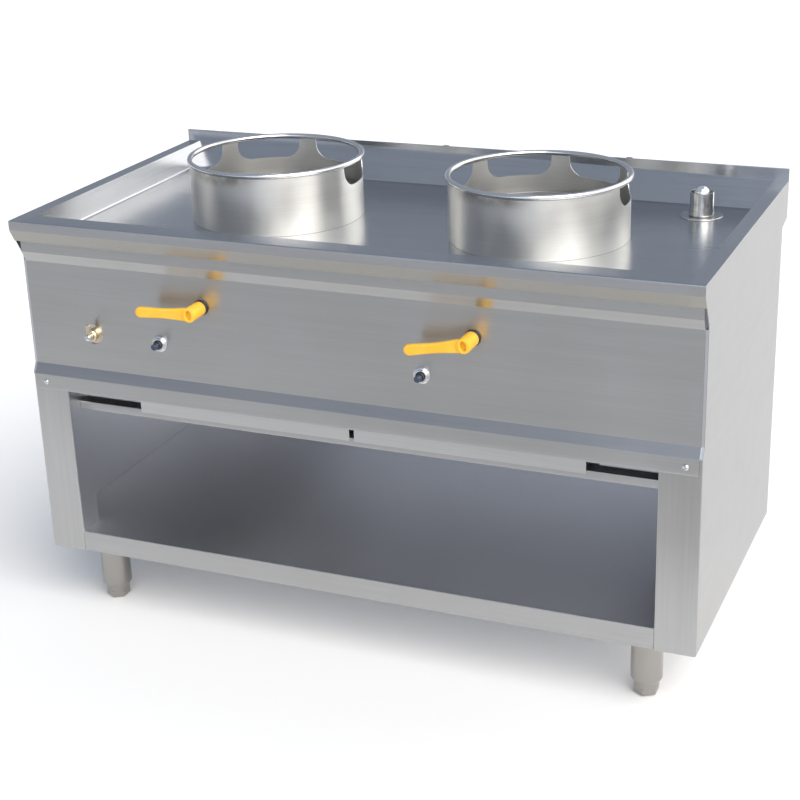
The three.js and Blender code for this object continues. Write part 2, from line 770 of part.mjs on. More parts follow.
// The front corners are cut out, where the stiles' returns pass.
function bottomShelf() {
  const side = HALF - SHEET - GAP;
  const rear = BACK_FACE - GAP;
  const fold = SHEET + BEND;
  const openingHalf = HALF - STILE_WIDTH - GAP;
  const behindReturn = CABINET_SETBACK + STILE_RETURN + GAP;
  const floor = folded([
    [rear, CABINET_BOTTOM],
    [rear, SHELF_TOP],
    [behindReturn, SHELF_TOP],
  ]);
  const rail = folded([
    [behindReturn + fold, SHELF_TOP],
    [CABINET_SETBACK, SHELF_TOP],
    [CABINET_SETBACK, CABINET_BOTTOM],
    [CABINET_SETBACK + SHELF_HEM, CABINET_BOTTOM],
  ]);
  const flange = block(
    -side,
    -side + SHEET,
    behindReturn,
    rear - fold - GAP,
    CABINET_BOTTOM,
    SHELF_TOP - SHEET / 2,
  );
  return join(
    alongX(floor, -side, side),
    alongX(rail, -openingHalf, openingHalf),
    flange,
    mirrored(flange),
  );
}

function backPanel() {
  const side = HALF - SHEET - BEND - GAP;
  const top = RIM - REAR_SKIRT - REAR_SLOPE - SHEET - GAP;
  const sheet = block(-side, side, BACK_FACE, BACK_FACE + SHEET, CABINET_BOTTOM, top);
  const passage = (radius, x, z) =>
    rodY(radius + PASSAGE, BACK_FACE - 1, BACK_FACE + 2 * SHEET).translate(x, 0, z);
  const slots = [];
  for (let i = 0; i < VENT_COUNT; i += 1) {
    const x = (i - (VENT_COUNT - 1) / 2) * VENT_PITCH;
    const slot = block(
      x - VENT_LENGTH / 2,
      x + VENT_LENGTH / 2,
      BACK_FACE - 1,
      BACK_FACE + 2 * SHEET,
      VENT_Z,
      VENT_Z + VENT_HEIGHT,
    );
    slots.push(slot);
  }
  return cut(
    sheet,
    passage(MANIFOLD_RADIUS, FEED_X, MANIFOLD_Z),
    passage(DRAIN_PIPE_RADIUS, DRAIN_X, FLOOR - DRAIN_PIPE_DROP),
    passage(WATER_PIPE_RADIUS, WATER_PIPE_X, TAP_Z),
    ...slots,
  );
}

// ---------------------------------------------------------------- fascia

function controlFascia() {
  const section = folded([
    [FRONT_RIM - SHEET - GAP, -FASCIA_TOP],
    ...FASCIA_FRONT,
    [FASCIA_FACE + FASCIA_HEM, -FASCIA_BOTTOM],
  ]);
  const end = HALF - FASCIA_END_INSET;
  const stileTrim = (side) =>
    block(
      side > 0 ? HALF - STILE_WIDTH - 2 * GAP : -HALF,
      side > 0 ? HALF : -HALF + STILE_WIDTH + 2 * GAP,
      CABINET_SETBACK - GAP,
      WORKTOP_DEPTH,
      RIM - FASCIA_BOTTOM - 1,
      RIM - FASCIA_BOTTOM + 2 * BEND + SHEET,
    );
  const through = (radius, x, z) =>
    rodY(radius, FASCIA_FACE - 1, PANEL_BACK + 1).translate(x, 0, z);
  const spoutHole = rodZ(SPOUT_RADIUS + PASSAGE, RIM - FASCIA_TOP - 2 * SHEET, RIM - FASCIA_TOP + 1);
  return cut(
    alongX(section, -end, end).translate(0, 0, RIM),
    spoutHole.translate(TAP_X, SPOUT_Y, 0),
    stileTrim(-1),
    stileTrim(1),
    ...LEVER_X.map((x) => through(SPINDLE_HOLE_RADIUS, x, VALVE_Z)),
    ...IGNITER_X.map((x) => through(IGNITER_RADIUS + GAP, x, IGNITER_Z)),
    through(TAP_HOLE_RADIUS, TAP_X, TAP_Z),
    through(SCREW_SHANK_RADIUS + GAP, -HALF + SCREW_INSET, SCREW_Z),
    through(SCREW_SHANK_RADIUS + GAP, HALF - SCREW_INSET, SCREW_Z),
  );
}

// A cross-slotted pan-head screw, its axis along Y and its seat at y = 0.
function fasciaScrew() {
  const screw = turnedY(
    [
      [0, -SCREW_HEAD_HEIGHT],
      [SCREW_HEAD_RADIUS - 2.4, -SCREW_HEAD_HEIGHT],
      [SCREW_HEAD_RADIUS, -SCREW_HEAD_HEIGHT + 1.8],
      [SCREW_HEAD_RADIUS, -GAP],
      [SCREW_SHANK_RADIUS, -GAP],
      [SCREW_SHANK_RADIUS, SCREW_LENGTH],
      [0, SCREW_LENGTH],
    ],
    PIN_SIDES,
  );
  const long = SCREW_HEAD_RADIUS - 3.4;
  const narrow = 0.6;
  const top = -SCREW_HEAD_HEIGHT - 1;
  const bottom = -SCREW_HEAD_HEIGHT + 1.4;
  return cut(
    screw,
    block(-long, long, top, bottom, -narrow, narrow),
    block(-narrow, narrow, top, bottom, -long, long),
  );
}

// ---------------------------------------------------------------- drip trays

function trayRail() {
  const end = HALF - STILE_WIDTH - GAP;
  const section = folded([
    [RAIL_FACE + RAIL_FLANGE, RAIL_TOP],
    [RAIL_FACE, RAIL_TOP],
    [RAIL_FACE, RAIL_TOP - RAIL_HEIGHT],
    [RAIL_FACE + RAIL_HEM, RAIL_TOP - RAIL_HEIGHT],
  ]);
  return alongX(section, -end, end);
}

// A flat bearing strip with a stiffening web below it, from the cross rail to the back panel.
function trayRunner(x) {
  const front = RAIL_FACE + RAIL_FLANGE + GAP;
  const rear = BACK_FACE - GAP;
  const strip = block(
    x - RUNNER_WIDTH / 2,
    x + RUNNER_WIDTH / 2,
    front,
    rear,
    RAIL_TOP - SHEET,
    RAIL_TOP,
  );
  const web = block(
    x - SHEET / 2,
    x + SHEET / 2,
    front,
    rear,
    RAIL_TOP - RUNNER_WEB,
    RAIL_TOP - SHEET / 2,
  );
  return join(strip, web);
}

function dripTray([x0, x1]) {
  const rear = BACK_FACE - TRAY_BACK_SPACE;
  const wallTop = TRAY_FLOOR + TRAY_WALL;
  const front = block(x0, x1, TRAY_FACE, TRAY_FACE + SHEET, wallTop - TRAY_FRONT_HEIGHT, wallTop);
  const pan = block(x0 + TRAY_INSET, x1 - TRAY_INSET, TRAY_FACE, rear, TRAY_FLOOR, wallTop);
  const hollow = block(
    x0 + TRAY_INSET + SHEET,
    x1 - TRAY_INSET - SHEET,
    TRAY_FACE + SHEET,
    rear - SHEET,
    TRAY_FLOOR + SHEET,
    wallTop + 1,
  );
  return join(front, cut(pan, hollow));
}

// ---------------------------------------------------------------- legs and feet

// Heights above the floor.
function leg() {
  const top = SHELF_TOP - SHEET - GAP;
  const noseTop = FOOT_HEIGHT + LEG_NOSE;
  const shoulder = noseTop + LEG_TAPER;
  const stemBore = FOOT_STEM_RADIUS + GAP;
  return turnedZ([
    [stemBore, FOOT_HEIGHT + GAP],
    [LEG_NOSE_RADIUS, FOOT_HEIGHT + GAP],
    [LEG_NOSE_RADIUS, noseTop],
    [LEG_RADIUS, shoulder],
    [LEG_RADIUS, top - LEG_PLATE],
    [LEG_PLATE_RADIUS, top - LEG_PLATE],
    [LEG_PLATE_RADIUS, top],
    [LEG_RADIUS - LEG_WALL, top],
    [LEG_RADIUS - LEG_WALL, shoulder + LEG_WALL],
    [stemBore, shoulder + LEG_WALL],
  ], TUBE_SIDES);
}

function foot() {
  const hex = turnedZ([
    [0, 0],
    [FOOT_CORNER_RADIUS - FOOT_BEVEL, 0],
    [FOOT_CORNER_RADIUS, FOOT_BEVEL],
    [FOOT_CORNER_RADIUS, FOOT_HEIGHT],
    [0, FOOT_HEIGHT],
  ], 6);
  return join(hex, rodZ(FOOT_STEM_RADIUS, FOOT_HEIGHT - 1, FOOT_HEIGHT + FOOT_STEM_LENGTH));
}

// ---------------------------------------------------------------- wok rings

// Heights above the basin floor, about the ring's own axis.
function ringShell() {
  const top = RING_HEIGHT - RING_BAR - GAP;
  const inner = RING_RADIUS - SHEET;
  const shell = turnedZ(tube(RING_RADIUS, inner, GAP, top), RING_SIDES);
  const halfCut = THREE.MathUtils.degToRad((CUT_PITCH - TAB_ANGLE) / 2) * RING_RADIUS;
  const cuts = [];
  for (let i = 0; i < CUT_COUNT; i += 1) {
    const middle = CUT_CENTRE + (i - (CUT_COUNT - 1) / 2) * CUT_PITCH;
    cuts.push(scallop(halfCut, THREE.MathUtils.degToRad(middle)));
  }
  return cut(shell, ...cuts);
}

// A cut-out with rounded lower corners, as a row of upright slices bent round the ring.
function scallop(halfWidth, middle) {
  const floorAt = (s) => {
    const intoCorner = Math.max(Math.abs(s) - halfWidth + CUT_CORNER, 0);
    return CUT_FLOOR + CUT_CORNER - Math.sqrt(Math.max(CUT_CORNER ** 2 - intoCorner ** 2, 0));
  };
  const slices = [];
  for (let i = 0; i < SCALLOP_SLICES; i += 1) {
    const [s0, s1] = [i, i + 1].map(
      (k) => halfWidth * Math.sin((k / SCALLOP_SLICES - 0.5) * Math.PI),
    );
    const outline = [
      [s0, floorAt(s0)],
      [s1, floorAt(s1)],
      [s1, RING_HEIGHT],
      [s0, RING_HEIGHT],
    ];
    slices.push(bentRound(extruded(outline, 4 * SHEET), middle));
  }
  return join(...slices);
}

// Turns (arc length, height, depth) into a place in the ring's wall, centred on an angle.
function bentRound(geometry, middle) {
  const position = geometry.attributes.position;
  for (let i = 0; i < position.count; i += 1) {
    const angle = middle - position.getX(i) / RING_RADIUS;
    const radius = RING_RADIUS + SHEET - position.getZ(i);
    const height = position.getY(i);
    position.setXYZ(i, radius * Math.cos(angle), radius * Math.sin(angle), height);
  }
  return geometry;
}

function ringRim() {
  const bar = RING_BAR / 2;
  const profile = [];
  for (let i = 0; i < BAR_SIDES; i += 1) {
    const angle = ((i + 0.5) * 2 * Math.PI) / BAR_SIDES;
    profile.push([
      RING_RADIUS - SHEET / 2 + bar * Math.cos(angle),
      RING_HEIGHT - bar + bar * Math.sin(angle),
    ]);
  }
  return turnedZ(profile, RING_SIDES);
}

// ---------------------------------------------------------------- burners

// A collar that the ring stands round, a flange on the basin floor and a pan with a ledge below.
function burnerWell() {
  const inner = WELL_RADIUS - SHEET;
  return turnedZ([
    [WELL_OPENING_RADIUS, -WELL_DEPTH],
    [WELL_RADIUS, -WELL_DEPTH],
    [WELL_RADIUS, GAP],
    [WELL_RADIUS + WELL_FLANGE, GAP],
    [WELL_RADIUS + WELL_FLANGE, GAP + SHEET],
    [WELL_RADIUS, GAP + SHEET],
    [WELL_RADIUS, COLLAR_HEIGHT],
    [inner, COLLAR_HEIGHT],
    [inner, -WELL_DEPTH + SHEET],
    [WELL_OPENING_RADIUS, -WELL_DEPTH + SHEET],
  ], WELL_SIDES);
}

function supportBar() {
  const reach = WELL_RADIUS - SHEET - 2;
  const bottom = BAR_BOTTOM - FLOOR;
  const bar = block(-reach, reach, -BAR_WIDTH / 2, BAR_WIDTH / 2, bottom, bottom + BAR_THICKNESS);
  const round = rodZ(WELL_RADIUS - SHEET - GAP, bottom - 1, bottom + BAR_THICKNESS + 1, WELL_SIDES);
  const above = bottom + BAR_THICKNESS + 1;
  const hole = rodZ(BURNER_STEM_RADIUS + GAP, bottom - 1, above, ROUND_SIDES);
  const electrodeHole = rodZ(ELECTRODE_RADIUS + GAP, bottom - 1, above, PIN_SIDES);
  return cut(common(bar, round), hole, electrodeHole.translate(-ELECTRODE_OFFSET, 0, 0));
}

// A cast body: slotted head, stem through the bar, and a venturi that opens towards the valve.
function burner() {
  const seat = BAR_TOP - FLOOR + GAP;
  const top = seat + BURNER_RISE;
  const axis = VALVE_Z - FLOOR;
  const underHead = top - BURNER_HEAD;
  const dish = top - BURNER_DISH;
  const crown = BURNER_RADIUS - BURNER_SLOPE;
  const head = turnedZ(
    [
      [0, axis - VENTURI_RADIUS],
      [BURNER_STEM_RADIUS, axis - VENTURI_RADIUS],
      [BURNER_STEM_RADIUS, seat],
      [BURNER_SHOULDER_RADIUS, seat],
      [BURNER_SHOULDER_RADIUS, seat + 6],
      [BURNER_RADIUS - 12, underHead],
      [BURNER_RADIUS, underHead + 8],
      [BURNER_RADIUS, dish],
      [crown, top],
      [crown - 8, top],
      [crown - 14, dish],
      [BURNER_STEM_RADIUS + 6, dish],
      [BURNER_STEM_RADIUS, dish + 8],
      [0, dish + 8],
    ],
    ROUND_SIDES,
  );
  const port = block(
    crown - 4,
    BURNER_RADIUS + 1,
    -PORT_WIDTH / 2,
    PORT_WIDTH / 2,
    top - PORT_DEPTH,
    top + 1,
  );
  const ports = [];
  for (let i = 0; i < BURNER_PORTS; i += 1) {
    ports.push(port.clone().rotateZ((i * 2 * Math.PI) / BURNER_PORTS));
  }
  const throat = -VENTURI_LENGTH + VENTURI_TAPER;
  const closedEnd = -BURNER_STEM_RADIUS - 8;
  const venturi = turnedY([
    [VENTURI_BORE, -VENTURI_LENGTH],
    [VENTURI_RADIUS + 7, -VENTURI_LENGTH],
    [VENTURI_RADIUS + 7, -VENTURI_LENGTH + 10],
    [VENTURI_RADIUS - 2, throat],
    [VENTURI_RADIUS, -BURNER_STEM_RADIUS / 2],
    [0, -BURNER_STEM_RADIUS / 2],
    [0, closedEnd],
    [VENTURI_BORE, closedEnd],
    [VENTURI_BORE - 4, throat],
  ], PIN_SIDES);
  return cut(join(head, venturi.translate(0, 0, axis)), ...ports);
}

// A wire in a ceramic rod whose collar rests on the support bar, bent over the burner's edge.
function sparkElectrode() {
  const seat = BAR_TOP - FLOOR + GAP;
  const bottom = seat - ELECTRODE_TAIL;
  const top = seat + ELECTRODE_HEIGHT;
  const ceramic = turnedZ(
    [
      [0, bottom],
      [ELECTRODE_RADIUS, bottom],
      [ELECTRODE_RADIUS, seat],
      [ELECTRODE_RADIUS + 2.5, seat],
      [ELECTRODE_RADIUS + 2.5, seat + 5],
      [ELECTRODE_RADIUS, seat + 5],
      [ELECTRODE_RADIUS, top],
      [0, top],
    ],
    PIN_SIDES,
  );
  const half = WIRE_DIAMETER / 2;
  const wire = block(-half, half, -half, half, top - 1, top + WIRE_RISE);
  const tip = block(-half, WIRE_REACH, -half, half, top + WIRE_RISE - WIRE_DIAMETER, top + WIRE_RISE);
  return join(ceramic, wire, tip);
}

// ---------------------------------------------------------------- gas line

// A pipe along the back of the valves with a capped end, a boss under each valve, and its feed.
function gasManifold() {
  const left = LEVER_X[0] - MANIFOLD_END;
  const line = pipe(
    MANIFOLD_RADIUS,
    PIPE_WALL,
    [
      [left, MANIFOLD_Y, MANIFOLD_Z],
      [FEED_X, MANIFOLD_Y, MANIFOLD_Z],
      [FEED_X, PIPE_END_Y, MANIFOLD_Z],
    ],
    MANIFOLD_BEND,
  );
  const cap = rodX(MANIFOLD_RADIUS + 2, left - 6, left + 10, PIN_SIDES);
  const boss = rodZ(MANIFOLD_RADIUS - 1, 0, MANIFOLD_BOSS, PIN_SIDES);
  return join(
    line,
    cap.translate(0, MANIFOLD_Y, MANIFOLD_Z),
    ...LEVER_X.map((x) => boss.clone().translate(x, MANIFOLD_Y, MANIFOLD_Z)),
  );
}

// Local frame: the spindle's axis is y, the fascia panel's back is y = 0.
function gasValve() {
  const half = VALVE_HALF_WIDTH;
  const inletEnd = -MANIFOLD_DROP + MANIFOLD_BOSS + GAP;
  const flange = rodY(half + 3, GAP, 5);
  const body = block(-half, half, 4, VALVE_LENGTH, -half, half);
  const inlet = rodZ(MANIFOLD_RADIUS, inletEnd, 0, PIN_SIDES);
  const outlet = rodY(VALVE_OUTLET_RADIUS, VALVE_LENGTH - 1, VALVE_REACH, PIN_SIDES);
  const bore = rodY(SPINDLE_RADIUS + GAP, 0, SPINDLE_DEPTH, PIN_SIDES);
  return cut(
    join(flange, body, inlet.translate(0, MANIFOLD_Y - PANEL_BACK, 0), outlet),
    bore,
  );
}

// From the valve's outlet to a hexagonal nozzle in front of the venturi, relative to the valve.
function injectorPipe(offset) {
  const start = PANEL_BACK + VALVE_REACH + GAP;
  const nozzle = RING_Y - VENTURI_LENGTH - INJECTOR_CLEARANCE;
  const line = pipe(
    INJECTOR_RADIUS,
    INJECTOR_RADIUS / 3,
    [
      [0, start, 0],
      [0, start + INJECTOR_RUN, 0],
      [offset, nozzle - 2 * INJECTOR_RUN, 0],
      [offset, nozzle - INJECTOR_RUN, 0],
    ],
    INJECTOR_BEND,
    THIN_PIPE_SIDES,
  );
  const holder = turnedY(
    [
      [INJECTOR_RADIUS / 2, nozzle - NOZZLE_LENGTH],
      [INJECTOR_RADIUS + NOZZLE_WALL, nozzle - NOZZLE_LENGTH],
      [INJECTOR_RADIUS + NOZZLE_WALL, nozzle - NOZZLE_TAPER],
      [INJECTOR_RADIUS - NOZZLE_WALL / 2, nozzle],
      [NOZZLE_RADIUS, nozzle],
      [NOZZLE_RADIUS, nozzle - NOZZLE_LENGTH / 2],
    ],
    6,
  );
  return join(line, holder.translate(offset, 0, 0));
}

// ---------------------------------------------------------------- levers

// Local frame: the spindle's axis is y, the fascia panel's face is y = 0, the arm points to -x.
function gasLever() {
  const face = -LEVER_PROJECTION;
  const back = -COLLAR_LENGTH - RUNNING;
  const hub = turnedY([
    [0, face],
    [LEVER_HUB_RADIUS - LEVER_ROUND, face],
    [LEVER_HUB_RADIUS, face + LEVER_ROUND],
    [LEVER_HUB_RADIUS, back],
    [0, back],
  ]);
  const tip = -LEVER_LENGTH + LEVER_TIP_RADIUS;
  const hubHalf = LEVER_HUB_RADIUS - LEVER_ROUND - 0.5;
  const tipHalf = LEVER_TIP_RADIUS - LEVER_ROUND;
  const arm = new THREE.Shape();
  arm.moveTo(-LEVER_ROUND, -hubHalf);
  arm.lineTo(-LEVER_ROUND, hubHalf);
  arm.lineTo(-LEVER_NECK, hubHalf - 0.5);
  arm.quadraticCurveTo(tip / 2, tipHalf + 1.5, tip, tipHalf);
  arm.absarc(tip, 0, tipHalf, Math.PI / 2, 1.5 * Math.PI);
  arm.quadraticCurveTo(tip / 2, -tipHalf - 1.5, -LEVER_NECK, -hubHalf + 0.5);
  const bar = new THREE.ExtrudeGeometry(arm, {
    depth: LEVER_THICKNESS - 2 * LEVER_ROUND,
    bevelSize: LEVER_ROUND,
    bevelThickness: LEVER_ROUND,
    bevelSegments: 1,
    curveSegments: 5,
  });
  turned(bar, X, Z, Y.clone().negate()).translate(0, face + LEVER_THICKNESS - LEVER_ROUND, 0);
  const dimple = rodY(LEVER_DIMPLE_RADIUS, face - 1, face + 2, PIN_SIDES);
  const bore = rodY(SPINDLE_RADIUS + GAP, back - SPINDLE_GRIP, back + 1, PIN_SIDES);
  return cut(join(hub, bar), dimple, bore);
}

function valveSpindle() {
  const back = SHEET + SPINDLE_DEPTH - GAP;
  const front = -COLLAR_LENGTH - RUNNING - SPINDLE_GRIP + GAP;
  return rodY(SPINDLE_RADIUS, front, back, PIN_SIDES);
}

function leverCollar() {
  return turnedY([
    [SPINDLE_RADIUS + RUNNING, -GAP],
    [COLLAR_RADIUS, -GAP],
    [COLLAR_RADIUS - 1, -COLLAR_LENGTH],
    [SPINDLE_RADIUS + RUNNING, -COLLAR_LENGTH],
  ]);
}

// ---------------------------------------------------------------- igniters

// Local frame: the axis is y and the fascia panel's face is y = 0.
function igniterBody() {
  const socket = BUTTON_RADIUS + RUNNING;
  const behind = SHEET + GAP;
  const rear = SHEET + IGNITER_DEPTH;
  return turnedY([
    [socket, -IGNITER_PROJECTION],
    [IGNITER_RADIUS, -IGNITER_PROJECTION],
    [IGNITER_RADIUS, behind],
    [IGNITER_RADIUS + 4, behind],
    [IGNITER_RADIUS + 4, rear],
    [0, rear],
    [0, SHEET + BUTTON_SOCKET],
    [socket, SHEET + BUTTON_SOCKET],
  ]);
}

// A washer face, a wide rim and a narrower neck, on the barrel.
function igniterNut() {
  const bore = IGNITER_RADIUS + GAP;
  const neck = IGNITER_NUT_RADIUS - 3.5;
  return turnedY([
    [bore, -GAP],
    [IGNITER_NUT_RADIUS, -GAP],
    [IGNITER_NUT_RADIUS, -4],
    [IGNITER_NUT_RADIUS - 1.5, -5],
    [neck, -5],
    [neck, -IGNITER_NUT_HEIGHT + 1.5],
    [neck - 1.5, -IGNITER_NUT_HEIGHT],
    [bore, -IGNITER_NUT_HEIGHT],
  ]);
}

function igniterButton() {
  const tail = SHEET + BUTTON_SOCKET - BUTTON_TRAVEL - RUNNING;
  return turnedY([
    [0, -BUTTON_PROJECTION],
    [BUTTON_RADIUS - 1, -BUTTON_PROJECTION],
    [BUTTON_RADIUS, -BUTTON_PROJECTION + 1],
    [BUTTON_RADIUS, tail],
    [0, tail],
  ]);
}

// ---------------------------------------------------------------- water tap

// Local frame: the axis is y and the fascia panel's face is y = 0.
function tapBody() {
  const nose = -TAP_PROJECTION + TAP_HEAD;
  const behind = SHEET + GAP;
  const flange = TAP_HOLE_RADIUS + 5;
  const barrel = TAP_BODY_RADIUS + 3;
  const rear = SHEET + 2 * TAP_PORT_DEPTH - 4;
  const socket = TAP_SHAFT_RADIUS + RUNNING;
  const shell = turnedY([
    [socket, nose],
    [TAP_BODY_RADIUS - 2, nose],
    [TAP_BODY_RADIUS, nose + 2],
    [TAP_BODY_RADIUS, behind],
    [flange, behind],
    [flange, SHEET + 4],
    [barrel, SHEET + 4],
    [barrel, rear],
    [0, rear],
    [0, TAP_SOCKET],
    [socket, TAP_SOCKET],
  ]);
  const port = rodZ(WATER_PIPE_RADIUS + 3, TAP_BODY_RADIUS - 3, TAP_PORT_REACH, PIN_SIDES);
  const outlet = port.clone().translate(0, TAP_PORT_Y - PANEL_FACE, 0);
  const inlet = port.rotateY(-Math.PI / 2).translate(0, TAP_PORT_Y - PANEL_FACE, 0);
  return join(shell, outlet, inlet);
}

// A stepped shaft with a small wing pointing up.
function tapSpindle() {
  const back = -TAP_PROJECTION + TAP_HEAD - RUNNING;
  const shaft = turnedY(
    [
      [TAP_THREAD_RADIUS, -TAP_PROJECTION],
      [TAP_HEAD_RADIUS, -TAP_PROJECTION],
      [TAP_HEAD_RADIUS, back],
      [TAP_SHAFT_RADIUS, back],
      [TAP_SHAFT_RADIUS, TAP_SOCKET - 1],
      [0, TAP_SOCKET - 1],
      [0, -TAP_THREAD_END],
      [TAP_THREAD_RADIUS, -TAP_THREAD_END],
    ],
    PIN_SIDES,
  );
  const wing = alongY(
    [
      [-5, 4],
      [5, 4],
      [4, WING_HEIGHT - 4],
      [2, WING_HEIGHT],
      [-2, WING_HEIGHT],
      [-4, WING_HEIGHT - 4],
    ],
    -TAP_PROJECTION,
    back,
  );
  return join(shaft, wing);
}

// Slotted head, clamping the wing to the shaft.
function tapScrew() {
  const seat = -TAP_PROJECTION - GAP;
  const head = TAP_HEAD_RADIUS - 1.5;
  const screw = turnedY(
    [
      [0, seat - 3.5],
      [head - 2.5, seat - 3.5],
      [head, seat - 2],
      [head, seat],
      [TAP_THREAD_RADIUS - GAP, seat],
      [TAP_THREAD_RADIUS - GAP, -TAP_THREAD_END - GAP],
      [0, -TAP_THREAD_END - GAP],
    ],
    PIN_SIDES,
  );
  return cut(screw, block(-head - 1, head + 1, seat - 4, seat - 2.2, -0.8, 0.8));
}

function waterPipe() {
  return pipe(
    WATER_PIPE_RADIUS,
    WATER_PIPE_WALL,
    [
      [TAP_X - TAP_PORT_REACH - GAP, TAP_PORT_Y, TAP_Z],
      [WATER_PIPE_X, TAP_PORT_Y, TAP_Z],
      [WATER_PIPE_X, PIPE_END_Y, TAP_Z],
    ],
    WATER_PIPE_BEND,
  );
}

// Up from the tap, forward under the worktop's rim and out through the basin's front wall.
function waterSpout() {
  const spoutZ = RIM - SPOUT_DROP;
  const panelTop = RIM - PANEL_TOP;
  return pipe(
    SPOUT_RADIUS,
    WATER_PIPE_WALL,
    [
      [TAP_X, TAP_PORT_Y, TAP_Z + TAP_PORT_REACH + GAP],
      [TAP_X, TAP_PORT_Y, panelTop - SPOUT_STEP[0]],
      [TAP_X, SPOUT_Y, panelTop + SPOUT_STEP[1]],
      [TAP_X, SPOUT_Y, spoutZ],
      [TAP_X, FRONT_RIM + SPOUT_REACH, spoutZ],
    ],
    SPOUT_BEND,
    THIN_PIPE_SIDES,
  );
}

// ---------------------------------------------------------------- drain and standpipe

// Heights above the basin floor, about the drain's axis.
function drainFlange() {
  const seat = -DRAIN_SEAT - GAP;
  return turnedZ([
    [DRAIN_BORE_RADIUS - 5, -DRAIN_NECK_LENGTH],
    [DRAIN_NECK_RADIUS, -DRAIN_NECK_LENGTH],
    [DRAIN_NECK_RADIUS, GAP],
    [DRAIN_FLANGE_RADIUS, GAP],
    [DRAIN_FLANGE_RADIUS, GAP + 1],
    [DRAIN_FLANGE_RADIUS - 2, GAP + 2.2],
    [DRAIN_FLANGE_RADIUS - 5, GAP + 2.2],
    [DRAIN_NECK_RADIUS + 1, GAP + 1.2],
    [DRAIN_BORE_RADIUS, GAP + 1.2],
    [DRAIN_BORE_RADIUS, seat],
    [DRAIN_BORE_RADIUS - 5, seat],
  ], ROUND_SIDES);
}

function standpipe() {
  const bore = STANDPIPE_RADIUS - STANDPIPE_WALL;
  return turnedZ([
    [bore, -DRAIN_SEAT],
    [STANDPIPE_RADIUS, -DRAIN_SEAT],
    [STANDPIPE_RADIUS, 3],
    [STANDPIPE_RADIUS + STANDPIPE_FLARE, 5],
    [STANDPIPE_RADIUS, STANDPIPE_HEIGHT / 2],
    [STANDPIPE_RADIUS, STANDPIPE_HEIGHT],
    [bore, STANDPIPE_HEIGHT],
  ], ROUND_SIDES);
}

// A ball on a stem that stands on a flat cross in the bore.
function standpipeKnob() {
  const bore = STANDPIPE_RADIUS - STANDPIPE_WALL - GAP;
  const centre = STANDPIPE_HEIGHT + KNOB_RISE - KNOB_RADIUS;
  const ball = new THREE.SphereGeometry(KNOB_RADIUS, TUBE_SIDES, TUBE_SIDES / 2);
  const half = CROSS_WIDTH / 2;
  const top = CROSS_RISE + CROSS_THICKNESS;
  const cross = join(
    block(-bore, bore, -half, half, CROSS_RISE, top),
    block(-half, half, -bore, bore, CROSS_RISE, top),
  );
  const stem = rodZ(KNOB_STEM_RADIUS, top - 1, centre, PIN_SIDES);
  const hole = rodY(KNOB_HOLE_RADIUS, -KNOB_RADIUS - 1, -KNOB_RADIUS + 5, 8);
  return cut(
    join(
      ball.rotateX(Math.PI / 2).translate(0, 0, centre),
      stem,
      common(cross, rodZ(bore, CROSS_RISE - 1, top + 1, ROUND_SIDES)),
    ),
    hole.translate(0, 0, centre + 2),
  );
}

function drainPipe() {
  return pipe(
    DRAIN_PIPE_RADIUS,
    DRAIN_PIPE_WALL,
    [
      [0, 0, -DRAIN_NECK_LENGTH - GAP],
      [0, 0, -DRAIN_PIPE_DROP],
      [0, PIPE_END_Y - DRAIN_Y, -DRAIN_PIPE_DROP],
    ],
    DRAIN_ELBOW,
    TUBE_SIDES,
  );
}

// ---------------------------------------------------------------- assembly

addPart("worktop", worktop(), "worktop");
addPart("side_panel_left", sidePanel(), "panel");
addPart("side_panel_right", mirrored(sidePanel()), "panel");
addPart("bottom_shelf", bottomShelf(), "panel");
addPart("back_panel", backPanel(), "panel");
addPart("control_fascia", controlFascia(), "panel");

addPart("tray_rail", trayRail(), "panel");
addPart("drip_tray_left", dripTray(TRAY_LEFT_X), "tray");
addPart("drip_tray_right", dripTray(TRAY_RIGHT_X), "tray");
const RUNNERS = {
  tray_runner_left: TRAY_LEFT_X[0],
  tray_runner_middle: (TRAY_LEFT_X[1] + TRAY_RIGHT_X[0]) / 2,
  tray_runner_right: TRAY_RIGHT_X[1],
};
for (const [name, x] of Object.entries(RUNNERS)) {
  addPart(name, trayRunner(x), "panel");
}

for (const [end, y] of [
  ["front", CABINET_SETBACK + LEG_INSET],
  ["rear", CABINET_REAR - LEG_INSET],
]) {
  for (const [i, side] of SIDES.entries()) {
    const corner = addGroup(i ? LEG_X : -LEG_X, y, 0);
    addPart(`leg_${end}_${side}`, leg(), "leg", corner);
    addPart(`foot_${end}_${side}`, foot(), "leg", corner);
  }
}

